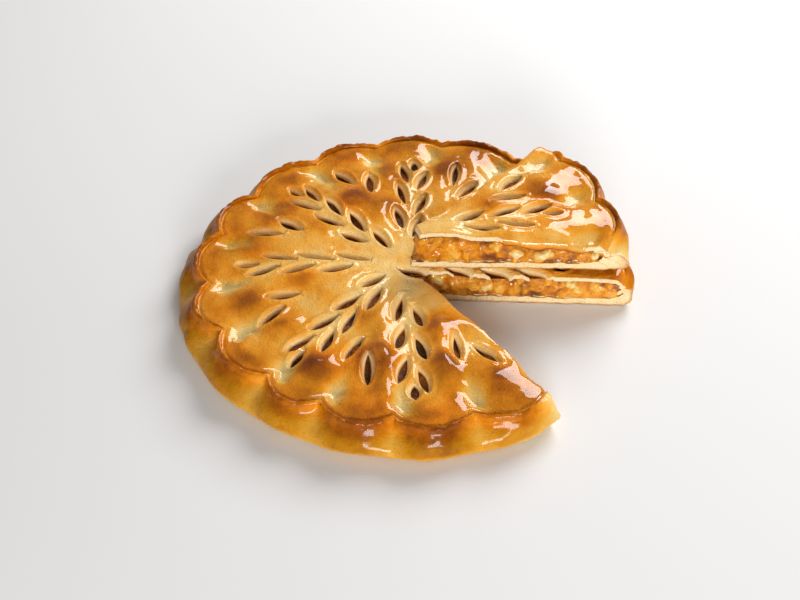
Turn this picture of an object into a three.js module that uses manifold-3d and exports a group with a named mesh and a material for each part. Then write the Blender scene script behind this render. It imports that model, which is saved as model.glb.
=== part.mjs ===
// A round covered apple pie with one slice cut out and set down on top of the pie.
//
// Two sheets of dough, a base and a lid, hold a filling of diced apple. The base comes up at the side
// and folds over the lid's edge in a ridge that is crimped into scallops. The lid is slit with sprays
// of leaf cuts, so the filling shows through it. The whole pie is shaped first, as three round pieces.
// A knife then parts each piece into the slice and the rest.
//
// Millimetres, +Z up. The pie stands on z = 0 and the origin is under the middle of its outline.
import * as THREE from "three";
import { mergeVertices } from "three/addons/utils/BufferGeometryUtils.js";
import Module from "manifold-3d";

// Driving dimensions of the whole pie
const RIDGE_RADIUS = 151;
const RIDGE_HEIGHT = 27.6;
const FLANK_RADIUS = 158.5;
const FOOT_RADIUS = 151;
const BASE_THICKNESS = 7;
const LID_THICKNESS = 4.8;
const LID_RADIUS = 146.6;
const SEAM = 0.6;
const RIM_SEAM = 2;

// The crimped edge
const SCALLOPS = 17;
const FIRST_PINCH_DEG = 57.5;
const CROWDED_DEG = 346;
const SCALLOP_BULGE = 3.2;
const PINCH_DEPTH = 8.5;
const PINCH_DROP = 4.2;
const THUMB_DEPTH = 4.2;
const THUMB_RADIUS = 128;
const THUMB_LENGTH = 12;
const THUMB_SPREAD_DEG = 2.9;
const STEPS_PER_SCALLOP = 6;

// The leaf cuts. They spread from a point beside the pie's middle. Each spray has its own direction, the
// distance of the first cut on either side of it, and the distance from each cut to the next.
const SPRAY_CENTRE = new THREE.Vector2(-2, 9);
const SPRAYS = [
  { deg: -2, clockwise: 27, counter: 38, pitch: 25.5 },
  { deg: 43, clockwise: 24, counter: 36, pitch: 25.5 },
  { deg: 86, clockwise: 28, counter: 37, pitch: 25.5 },
  { deg: 135.5, clockwise: 18, counter: 35, pitch: 24.2 },
  { deg: 180.6, clockwise: 24.5, counter: 37, pitch: 26 },
  { deg: 231.8, clockwise: 19, counter: 31, pitch: 25.5 },
  { deg: 273.2, clockwise: 33, counter: 43, pitch: 28.5 },
  { deg: 322, clockwise: 53, counter: 47, pitch: 24.5 },
];
const LEAF_LENGTH = 23;
const LEAF_WIDTH = 8;
const LEAF_LAST_START = 102;
const LEAF_INNER_OFFSET = 3.4;
const LEAF_OUTER_OFFSET = 9.8;
const TIP_LEAF_STEP = 14;
const TIP_LEAF_LENGTH = 14;
const PAIR_CLOCKWISE_START = 80;
const PAIR_COUNTER_START = 93;
const PAIR_INNER_OFFSET = 4;
const PAIR_OUTER_OFFSET = 11;
const LEAF_CURVE_STEPS = 4;

// The slice
const CUT_APEX = new THREE.Vector2(3.5, 0);
const FIRST_CUT_DEG = -51.5;
const SECOND_CUT_DEG = -2.5;
const CRUMB_DEG = 2.5;
const SLICE_TURN_DEG = 50.5;
const SLICE_APEX = new THREE.Vector3(-2, 0, 31.2);
const TIP_LOSS = 7;
const TIP_LEAN_DEG = 14;
const OVERCUT_LENGTH = 26;
const OVERCUT_WIDTH = 9;
const OVERCUT_DEG = -22;

// The pieces of apple that stand out of the cut faces of the filling
const CHUNK_RADIUS = 5.4;
const CHUNK_PITCH = 11.5;
const CHUNK_FIRST_RADIUS = 18;
const CHUNK_LAST_RADIUS = 124;
const CHUNK_MIDDLE_HEIGHT = 15.6;
const CHUNK_PROUD = 1.6;

// How far the middle of the whole outline lies from the middle of the pie
const OUTLINE_MIDDLE = new THREE.Vector2(-0.4, 0.4);

const wasm = await Module();
wasm.setup();

const radians = THREE.MathUtils.degToRad;
const smooth = THREE.MathUtils.smoothstep;
const SEGMENTS = SCALLOPS * STEPS_PER_SCALLOP;
const SCALLOP_DEG = 360 / SCALLOPS;

// A repeatable draw between -1 and 1
let seed = 20;
function draw() {
  seed = (Math.imul(seed, 1664525) + 1013904223) >>> 0;
  return (seed / 0xffffffff) * 2 - 1;
}

// Solids: three.js geometry to manifold-3d and back
function solidOf(geometry) {
  const bare = geometry.index ? geometry.toNonIndexed() : geometry.clone();
  for (const name of Object.keys(bare.attributes)) {
    if (name !== "position") bare.deleteAttribute(name);
  }
  const merged = mergeVertices(bare, 1e-3);
  const corners = merged.index.array;
  const kept = [];
  for (let i = 0; i < corners.length; i += 3) {
    const [a, b, c] = corners.slice(i, i + 3);
    if (a !== b && b !== c && c !== a) kept.push(a, b, c);
  }
  return new wasm.Manifold(
    new wasm.Mesh({
      numProp: 3,
      vertProperties: merged.attributes.position.array,
      triVerts: new Uint32Array(kept),
    }),
  );
}

function geometryOf(solid) {
  const made = solid.getMesh();
  const geometry = new THREE.BufferGeometry();
  geometry.setAttribute("position", new THREE.BufferAttribute(made.vertProperties, 3));
  geometry.setIndex(new THREE.BufferAttribute(made.triVerts, 1));
  geometry.computeVertexNormals();
  return geometry;
}

// Scallops counted from the first pinch to an angle. The pinches are made by hand, so they drift round.
function scallopsTo(deg) {
  const crowd = THREE.MathUtils.euclideanModulo(deg - CROWDED_DEG + 180, 360) - 180;
  const drift = -2 + 2.2 * Math.cos(radians(deg - 100)) - 2.8 * Math.exp(-((crowd / 20) ** 2));
  return (deg - FIRST_PINCH_DEG - drift) / SCALLOP_DEG;
}

// How hard the dough is pinched at an angle: 1 at a pinch, 0 at the middle of a scallop
function pinchAt(deg) {
  const along = THREE.MathUtils.euclideanModulo(scallopsTo(deg), 1);
  return 1 - Math.pow(Math.sin(Math.PI * along), 0.75);
}

// The thumb mark inside each pinch: 1 at its middle, fading along and across the pinch's radius
function thumbAt(deg, radius) {
  const turn = scallopsTo(deg);
  const across = ((turn - Math.round(turn)) * SCALLOP_DEG) / THUMB_SPREAD_DEG;
  const along = (radius - THUMB_RADIUS) / THUMB_LENGTH;
  return Math.exp(-across * across - along * along);
}

// The lid's slow swells over the fruit
function swellAt(x, y) {
  return 0.55 * Math.sin(x / 17 + 0.6) * Math.cos(y / 21 - 0.4) + 0.35 * Math.sin((x + y) / 12.5);
}

// Takes a point of the plain round pie to its place in the crimped, uneven one
function crimped(radius, deg, height) {
  const pinch = pinchAt(deg);
  const nearRim = smooth(radius, 104, LID_RADIUS);
  const aloft = smooth(height, 7.2, 20);
  const inOrOut = SCALLOP_BULGE - (SCALLOP_BULGE + PINCH_DEPTH) * pinch;
  const reach = nearRim * (0.16 + 0.84 * smooth(height, 3, 22));
  const sway = 2 * Math.cos(radians(2 * deg)) + 1.1 * Math.cos(radians(3 * (deg - 305)));
  const newRadius = radius + reach * inOrOut + smooth(radius, 60, FOOT_RADIUS) * sway;
  const x = newRadius * Math.cos(radians(deg));
  const y = newRadius * Math.sin(radians(deg));
  const drop = PINCH_DROP * nearRim * Math.pow(pinch, 1.4) + THUMB_DEPTH * thumbAt(deg, radius);
  const swell = swellAt(x, y) * (1 - 0.7 * nearRim);
  return new THREE.Vector3(x, y, height + aloft * (swell - drop));
}

// Turns a profile of [radius, height] points round the pie's axis, then crimps it
function turned(profile) {
  const points = profile.map(([radius, height]) => new THREE.Vector2(radius, height));
  const geometry = new THREE.LatheGeometry(points, SEGMENTS);
  const place = geometry.getAttribute("position");
  for (let i = 0; i < place.count; i++) {
    const [radius, height] = profile[i % profile.length];
    const deg = (Math.floor(i / profile.length) * 360) / SEGMENTS;
    const point = crimped(radius, deg, height);
    place.setXYZ(i, point.x, point.y, point.z);
  }
  return solidOf(geometry);
}

// The lid's upper side, as [radius, height]: a low dome that falls into the groove behind the ridge
const LID_TOP = [
  [LID_RADIUS, 23.2],
  [141, 24.5],
  [131, 26],
  [115, 27.7],
  [90, 29],
  [60, 29.6],
  [30, 29.2],
  [0, 28.5],
];

// The underside keeps fewer points, each a lid's thickness below the upper side
const LID_UNDERSIDE = [LID_TOP[7], LID_TOP[5], LID_TOP[3], LID_TOP[1], LID_TOP[0]].map(
  ([radius, height]) => [radius, height - LID_THICKNESS],
);

function wholeBase() {
  const wallTop = LID_UNDERSIDE[4][1] - SEAM;
  return turned([
    [0, 0],
    [FOOT_RADIUS, 0],
    [FOOT_RADIUS + 4.8, 2],
    [FLANK_RADIUS, 7.5],
    [FLANK_RADIUS - 0.5, 14],
    [RIDGE_RADIUS + 5.4, 20],
    [RIDGE_RADIUS + 2.4, RIDGE_HEIGHT - 2.4],
    [RIDGE_RADIUS, RIDGE_HEIGHT],
    [RIDGE_RADIUS - 2.6, RIDGE_HEIGHT - 0.5],
    [LID_RADIUS + SEAM, RIDGE_HEIGHT - 3],
    [LID_RADIUS + SEAM, wallTop],
    [140, LID_UNDERSIDE[3][1] - RIM_SEAM],
    [135, 10.5],
    [126, BASE_THICKNESS],
    [0, BASE_THICKNESS],
  ]);
}

function wholeLid() {
  return turned([...LID_UNDERSIDE, ...LID_TOP]);
}

function wholeFilling() {
  const under = LID_UNDERSIDE.slice(0, 2).map(([radius, height]) => [radius, height - SEAM]);
  under.push([LID_UNDERSIDE[2][0], LID_UNDERSIDE[2][1] - 1.5 * SEAM]);
  under.push([138.4, LID_UNDERSIDE[3][1] - RIM_SEAM]);
  return turned([
    [0, BASE_THICKNESS + SEAM],
    [125, BASE_THICKNESS + SEAM],
    [133.6, 11.3],
    ...under.reverse(),
  ]);
}

// A point given along a direction from a centre and across it, counter-clockwise
function beside(centre, deg, along, across) {
  return new THREE.Vector2(along, across).rotateAround(new THREE.Vector2(), radians(deg)).add(centre);
}

// One leaf cut: a tapered blade from its inner tip to its outer tip, standing through the lid
function leafBlade(inner, outer, width) {
  const along = outer.clone().sub(inner);
  const side = new THREE.Vector2(-along.y, along.x).normalize().multiplyScalar(width);
  const belly = inner.clone().addScaledVector(along, 0.58);
  const leaf = new THREE.Shape();
  leaf.moveTo(inner.x, inner.y);
  leaf.quadraticCurveTo(belly.x - side.x, belly.y - side.y, outer.x, outer.y);
  leaf.quadraticCurveTo(belly.x + side.x, belly.y + side.y, inner.x, inner.y);
  const height = RIDGE_HEIGHT + LID_THICKNESS;
  const blade = new THREE.ExtrudeGeometry(leaf, {
    depth: height,
    bevelEnabled: false,
    curveSegments: LEAF_CURVE_STEPS,
  });
  return solidOf(blade.translate(0, 0, height / 3));
}

function leanedLeaf(deg, start, length, innerOffset, outerOffset) {
  const inner = start + draw();
  const outer = inner + length * (1 + 0.08 * draw());
  return leafBlade(
    beside(SPRAY_CENTRE, deg, inner, innerOffset),
    beside(SPRAY_CENTRE, deg, outer, outerOffset * (1 + 0.12 * draw())),
    LEAF_WIDTH * (1 + 0.18 * draw()),
  );
}

// One spray: leaves on both sides of its direction, then a short one at its tip
function sprayCuts({ deg, clockwise, counter, pitch }) {
  const blades = [];
  let last = 0;
  for (const [first, hand] of [[clockwise, -1], [counter, 1]]) {
    for (let start = first; start < LEAF_LAST_START; start += pitch) {
      const offsets = [hand * LEAF_INNER_OFFSET, hand * LEAF_OUTER_OFFSET];
      blades.push(leanedLeaf(deg, start, LEAF_LENGTH, ...offsets));
      last = Math.max(last, start);
    }
  }
  blades.push(leanedLeaf(deg, last + TIP_LEAF_STEP, TIP_LEAF_LENGTH, 0, 0));
  return blades;
}

// Two leaves midway between one spray and the next
function pairCuts(spray, nextDeg) {
  const deg = (spray.deg + nextDeg) / 2;
  return [
    leanedLeaf(deg, PAIR_CLOCKWISE_START, LEAF_LENGTH, -PAIR_INNER_OFFSET, -PAIR_OUTER_OFFSET),
    leanedLeaf(deg, PAIR_COUNTER_START, LEAF_LENGTH, PAIR_INNER_OFFSET, PAIR_OUTER_OFFSET),
  ];
}

function leafCuts() {
  const blades = SPRAYS.flatMap((spray, i) => {
    const nextDeg = i + 1 < SPRAYS.length ? SPRAYS[i + 1].deg : SPRAYS[0].deg + 360;
    return [...sprayCuts(spray), ...pairCuts(spray, nextDeg)];
  });
  return wasm.Manifold.union(blades);
}

// The wedge between two cuts from the apex
function knifeWedge(firstDeg, secondDeg) {
  const far = 2 * FLANK_RADIUS;
  const wedge = new THREE.Shape([
    CUT_APEX,
    beside(CUT_APEX, firstDeg, far, 0),
    beside(CUT_APEX, secondDeg, far, 0),
  ]);
  const deep = 3 * RIDGE_HEIGHT;
  const blade = new THREE.ExtrudeGeometry(wedge, { depth: deep, bevelEnabled: false });
  return solidOf(blade.translate(0, 0, -RIDGE_HEIGHT));
}

// The block at the wedge's apex that the slice has lost
function lostTip() {
  const side = 2 * TIP_LOSS;
  const block = new THREE.BoxGeometry(side, 2 * side, 4 * RIDGE_HEIGHT);
  block.rotateY(radians(TIP_LEAN_DEG));
  block.rotateZ(radians((FIRST_CUT_DEG + SECOND_CUT_DEG) / 2));
  return solidOf(block.translate(CUT_APEX.x, CUT_APEX.y, RIDGE_HEIGHT / 2));
}

// The lid of the pie is torn a little past the cuts' apex
function overcut() {
  const inner = beside(CUT_APEX, OVERCUT_DEG, -0.45 * OVERCUT_LENGTH, 0);
  const outer = beside(CUT_APEX, OVERCUT_DEG, 0.55 * OVERCUT_LENGTH, 0);
  return leafBlade(inner, outer, OVERCUT_WIDTH);
}

// A row of apple pieces along a cut, each a lump that stands a little out of the cut face. The lumps keep
// to the room between the base and the lid.
function applePieces(deg, facing, room) {
  const lumps = [];
  let rank = 0;
  for (let radius = CHUNK_FIRST_RADIUS; radius < CHUNK_LAST_RADIUS; radius += CHUNK_PITCH) {
    const size = CHUNK_RADIUS * (1 + 0.16 * draw());
    const lump = new THREE.IcosahedronGeometry(size, 1);
    lump.scale(1, 1, 0.82 + 0.1 * draw());
    lump.rotateZ(Math.PI * draw());
    const sunk = size - CHUNK_PROUD * (0.75 + 0.25 * draw());
    const middle = beside(CUT_APEX, deg, radius + 1.5 * draw(), -facing * sunk);
    const height = CHUNK_MIDDLE_HEIGHT + (rank % 2 ? 1.6 : -1.6) + 0.4 * draw();
    lumps.push(solidOf(lump.translate(middle.x, middle.y, height)));
    rank += 1;
  }
  return wasm.Manifold.union(lumps).intersect(room);
}

const FINISHES = {
  base: { color: 0xd9953f, roughness: 0.4, metalness: 0 },
  filling: { color: 0xb8701c, roughness: 0.3, metalness: 0 },
  lid: { color: 0xd98a2b, roughness: 0.25, metalness: 0 },
};

function meshOf(name, kind, solid) {
  const mesh = new THREE.Mesh(geometryOf(solid), new THREE.MeshStandardMaterial(FINISHES[kind]));
  mesh.name = name;
  return mesh;
}

// The slice is narrower than the gap by what crumbled off at the second cut
const sliceSecondDeg = SECOND_CUT_DEG - CRUMB_DEG;
const gap = knifeWedge(FIRST_CUT_DEG, SECOND_CUT_DEG);
const sliceRoom = knifeWedge(FIRST_CUT_DEG, sliceSecondDeg).subtract(lostTip());
const base = wholeBase();
const filling = wholeFilling();
const lid = wholeLid().subtract(leafCuts());

// The pie that is left, with apple standing out of both of its cut faces
const rest = new THREE.Group();
const restFilling = filling
  .subtract(gap)
  .add(applePieces(FIRST_CUT_DEG, 1, filling))
  .add(applePieces(SECOND_CUT_DEG, -1, filling));
rest.add(meshOf("pie_base", "base", base.subtract(gap)));
rest.add(meshOf("pie_filling", "filling", restFilling));
rest.add(meshOf("pie_lid", "lid", lid.subtract(gap).subtract(overcut())));

// The slice, turned and lifted on to the pie beside the gap that it left
const slice = new THREE.Group();
const sliceFilling = filling
  .intersect(sliceRoom)
  .add(applePieces(FIRST_CUT_DEG, -1, filling))
  .add(applePieces(sliceSecondDeg, 1, filling));
slice.add(meshOf("slice_base", "base", base.intersect(sliceRoom)));
slice.add(meshOf("slice_filling", "filling", sliceFilling));
slice.add(meshOf("slice_lid", "lid", lid.intersect(sliceRoom)));
slice.rotation.z = radians(SLICE_TURN_DEG);
const turnedApex = CUT_APEX.clone().rotateAround(new THREE.Vector2(), slice.rotation.z);
slice.position.set(SLICE_APEX.x - turnedApex.x, SLICE_APEX.y - turnedApex.y, SLICE_APEX.z);

const pie = new THREE.Group();
pie.add(rest, slice);
pie.position.set(-OUTLINE_MIDDLE.x, -OUTLINE_MIDDLE.y, 0);

export default pie;
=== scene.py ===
"""Looks of a round covered apple pie, one slice of which is cut out and set down on top of the pie.

The pieces are shaped in millimetres about the middle of the whole pie, and settled into the row frame in
metres at the end. The base crust and the filling are spun about the point where the two cuts meet, then
crimped by the pie's form. The lid is cut as a flat sheet with its leaf slits, given its thickness, and laid
over the filling.
"""

from __future__ import annotations

import logging
import math
from dataclasses import dataclass
from enum import Enum
from functools import cached_property

import bpy
import numpy as np
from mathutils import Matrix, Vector
from mathutils.geometry import delaunay_2d_cdt

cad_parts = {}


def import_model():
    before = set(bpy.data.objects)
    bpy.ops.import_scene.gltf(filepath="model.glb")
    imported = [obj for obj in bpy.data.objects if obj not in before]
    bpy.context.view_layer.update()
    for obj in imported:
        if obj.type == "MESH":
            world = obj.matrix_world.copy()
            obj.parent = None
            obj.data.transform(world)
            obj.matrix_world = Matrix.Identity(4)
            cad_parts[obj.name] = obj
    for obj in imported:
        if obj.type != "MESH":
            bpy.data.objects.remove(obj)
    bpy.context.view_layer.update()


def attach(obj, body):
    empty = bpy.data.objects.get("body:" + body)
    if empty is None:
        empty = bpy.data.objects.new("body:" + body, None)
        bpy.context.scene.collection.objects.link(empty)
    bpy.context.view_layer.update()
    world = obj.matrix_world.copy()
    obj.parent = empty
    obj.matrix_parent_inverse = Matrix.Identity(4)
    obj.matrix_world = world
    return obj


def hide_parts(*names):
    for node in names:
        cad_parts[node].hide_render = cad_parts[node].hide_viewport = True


log = logging.getLogger("apple_pie")
Array = np.ndarray
Piece = bpy.types.Object
Socket = bpy.types.NodeSocket
Pair = tuple[float, float]
Sides = tuple[tuple[float, float, float], ...]
Layers = tuple[tuple[float, float, int], ...]
Stops = tuple[tuple[float, str], ...]

MILLIMETRE = 0.001
CUT_APEX = (3.5, 0.0)
FAR_AWAY = 1e3
TOUCHING = 0.02
CRUST_BEND_DEG = 48.0
FRUIT_BEND_DEG = 180.0


class Finish(Enum):
    """The finishes of the pie, by the name of their material."""

    BAKED = "baked_crust"
    GLAZED = "glazed_crust"
    CRUMB = "bread_crumb"
    APPLE = "cooked_apple"


class MeshPart(Enum):
    """What can be chosen in a mesh, by the mesh's own name for it."""

    EDGES = "edges"
    FACES = "polygons"


# Shared sums

CELL_CODES = np.array([374761393, 668265263, 1274126177])
SEED_CODE = 974634777
MIX_CODE = 1103515245
LOW_BITS = 0xFFFF


def smooth(value: Array, low: float, high: float) -> Array:
    """Rises softly from 0 at low to 1 at high."""
    share = np.clip((value - low) / (high - low), 0.0, 1.0)
    return share * share * (3.0 - 2.0 * share)


def fade(distance: Array, spread: float) -> Array:
    """Falls from 1 at no distance to about a third at the spread, and on towards 0."""
    return np.exp(-((distance / spread) ** 2))


def grain(points: Array, size: float, seed: int) -> Array:
    """Draws a smooth, repeatable unevenness at points in space.

    Args:
        points: One row of three numbers a point.
        size: The width of one swell.
        seed: Which unevenness to draw.

    Returns:
        One number from -1 to 1 a point.
    """
    scaled = points / size
    cell = np.floor(scaled).astype(np.int64)
    part = smooth(scaled - cell, 0.0, 1.0)
    total = np.zeros(len(points))
    for corner in np.ndindex(2, 2, 2):
        code = (cell + np.array(corner)) @ CELL_CODES + seed * SEED_CODE
        code = (code ^ (code >> 13)) * MIX_CODE
        value = ((code ^ (code >> 16)) & LOW_BITS) / (LOW_BITS / 2.0) - 1.0
        total += value * np.prod(np.where(np.array(corner) == 1, part, 1.0 - part), axis=1)
    return total


def layered(points: Array, layers: Layers) -> Array:
    """Adds up layers of unevenness, each with its height, the width of its swells and its seed."""
    return sum(height * grain(points, size, seed) for height, size, seed in layers)


def way_of(deg: float) -> Array:
    """Gives the direction at an angle, as two numbers."""
    return np.array([math.cos(math.radians(deg)), math.sin(math.radians(deg))])


def left_of(way: Array) -> Array:
    """Gives the direction to the left of another."""
    return np.array([-way[1], way[0]])


def spot_at(start: Pair, deg: float, run: float, off: float = 0.0) -> Pair:
    """Gives the place at a run along a direction from a start, and off to its left."""
    spot = np.array(start) + run * way_of(deg) + off * left_of(way_of(deg))
    return float(spot[0]), float(spot[1])


def run_and_off(spots: Array, start: Pair, deg: float) -> tuple[Array, Array]:
    """Gives how far places lie along a direction from a start, and how far off to its left."""
    away = spots - np.array(start)
    return away @ way_of(deg), away @ left_of(way_of(deg))


def radii_of(spots: Array) -> Array:
    """Gives the distance of places from the middle."""
    return np.hypot(spots[:, 0], spots[:, 1])


def angles_of(spots: Array) -> Array:
    """Gives the angles of places about the middle, in degrees."""
    return np.degrees(np.arctan2(spots[:, 1], spots[:, 0]))


def apart(deg: Array, turn: float) -> Array:
    """Gives how far angles are from another one, from -180 to 180 degrees."""
    return np.mod(deg - turn + 180.0, 360.0) - 180.0


def on_floor(spots: Array) -> Array:
    """Gives flat places as points in space, with no height."""
    return np.column_stack([spots, np.zeros(len(spots))])


def along(points: Array, count: int) -> Array:
    """Spreads points evenly along a broken line.

    Args:
        points: The line's corners.
        count: The number of even steps.

    Returns:
        One point more than the number of steps.
    """
    run = np.concatenate([[0.0], np.cumsum(np.linalg.norm(np.diff(points, axis=0), axis=1))])
    spots = np.linspace(0.0, run[-1], count + 1)
    return np.column_stack([np.interp(spots, run, points[:, axis]) for axis in range(points.shape[1])])


def rounded(points: Array, rounds: int) -> Array:
    """Cuts the corners of a broken line, and keeps its two ends.

    Args:
        points: The line's corners.
        rounds: How often the corners are cut.

    Returns:
        The rounder line's corners.
    """
    for _ in range(rounds):
        middle = np.empty((2 * len(points) - 2, points.shape[1]))
        middle[0::2] = 0.75 * points[:-1] + 0.25 * points[1:]
        middle[1::2] = 0.25 * points[:-1] + 0.75 * points[1:]
        points = np.vstack([points[:1], middle, points[-1:]])
    return points


def filled_in(first: Array, second: Array, rows: int) -> Array:
    """Spreads rows of points evenly from one line to another, by column and row."""
    share = np.linspace(0.0, 1.0, rows + 1)[None, :, None]
    return first[:, None, :] * (1.0 - share) + second[:, None, :] * share


class Dice:
    """Repeatable draws, so that the pie comes out the same each time."""

    def __init__(self, seed: int) -> None:
        """Starts the draws from a seed."""
        self.state = seed

    def draw(self) -> float:
        """Gives the next number from -1 to 1."""
        self.state = (self.state * 1664525 + 1013904223) & 0xFFFFFFFF
        return self.state / 0xFFFFFFFF * 2.0 - 1.0

    def between(self, low: float, high: float) -> float:
        """Gives the next number from low to high."""
        return low + (high - low) * (self.draw() + 1.0) / 2.0


# Work at the mesh


class Editing:
    """Edit mode on one object, for as long as a with block lasts."""

    def __init__(self, piece: Piece) -> None:
        """Keeps the object to edit."""
        self.piece = piece

    def __enter__(self) -> Piece:
        """Takes hold of the object alone and enters edit mode.

        Returns:
            The object.
        """
        take_hold(self.piece)
        bpy.ops.object.mode_set(mode="EDIT")
        return self.piece

    def __exit__(self, *fault: object) -> None:
        """Goes back to object mode."""
        bpy.ops.object.mode_set(mode="OBJECT")


def take_hold(piece: Piece) -> None:
    """Selects one object and nothing else, and makes it the active one.

    Args:
        piece: The object.
    """
    bpy.ops.object.select_all(action="DESELECT")
    piece.select_set(True)
    bpy.context.view_layer.objects.active = piece


def points_of(piece: Piece) -> Array:
    """Reads the places of an object's vertices.

    Args:
        piece: The object.

    Returns:
        One row of three numbers a vertex.
    """
    flat = np.empty(3 * len(piece.data.vertices), np.float32)
    piece.data.vertices.foreach_get("co", flat)
    return flat.reshape(-1, 3).astype(float)


def move_points(piece: Piece, points: Array) -> None:
    """Puts an object's vertices at new places, given as one row of three numbers a vertex."""
    piece.data.vertices.foreach_set("co", points.astype(np.float32).ravel())
    piece.data.update()


def paint(piece: Piece, name: str, values: Array) -> None:
    """Writes one number a vertex as a named attribute, for the materials to read."""
    layer = piece.data.attributes.get(name) or piece.data.attributes.new(name, "FLOAT", "POINT")
    layer.data.foreach_set("value", values.astype(np.float32))


def painted(piece: Piece, name: str) -> Array:
    """Reads the numbers that paint wrote.

    Args:
        piece: The object.
        name: The attribute's name.

    Returns:
        One number a vertex.
    """
    values = np.empty(len(piece.data.vertices), np.float32)
    piece.data.attributes[name].data.foreach_get("value", values)
    return values.astype(float)


def choose(piece: Piece, kind: MeshPart, chosen: Array) -> None:
    """Selects some edges or faces of an object that is in object mode, and nothing else of it.

    Args:
        piece: The object.
        kind: Whether edges or faces are chosen.
        chosen: True or false for each of them.
    """
    mesh = piece.data
    modes = (False, kind is MeshPart.EDGES, kind is MeshPart.FACES)
    bpy.context.tool_settings.mesh_select_mode = modes
    for parts in (mesh.vertices, mesh.edges, mesh.polygons):
        parts.foreach_set("select", np.zeros(len(parts), bool))
    getattr(mesh, kind.value).foreach_set("select", chosen)


def faces_where(piece: Piece, marked: Array) -> Array:
    """Finds the faces all of whose corners are marked, from true or false for each vertex."""
    return np.array([all(marked[corner] for corner in face.vertices) for face in piece.data.polygons])


def dress(piece: Piece, finishes: list[Finish], second: Array | None, bend_deg: float) -> None:
    """Gives an object its materials and smooth shading.

    Args:
        piece: The object.
        finishes: The finishes, the first of which covers every face that the second doesn't.
        second: True for each face that takes the second finish, where there is one.
        bend_deg: The bend between faces from which an edge stays sharp.
    """
    for finish in finishes:
        piece.data.materials.append(Finishes.get(finish))
    if second is not None:
        piece.data.polygons.foreach_set("material_index", second.astype(np.int32))
    take_hold(piece)
    bpy.ops.object.shade_smooth_by_angle(angle=math.radians(bend_deg))


# The pie's form


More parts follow.
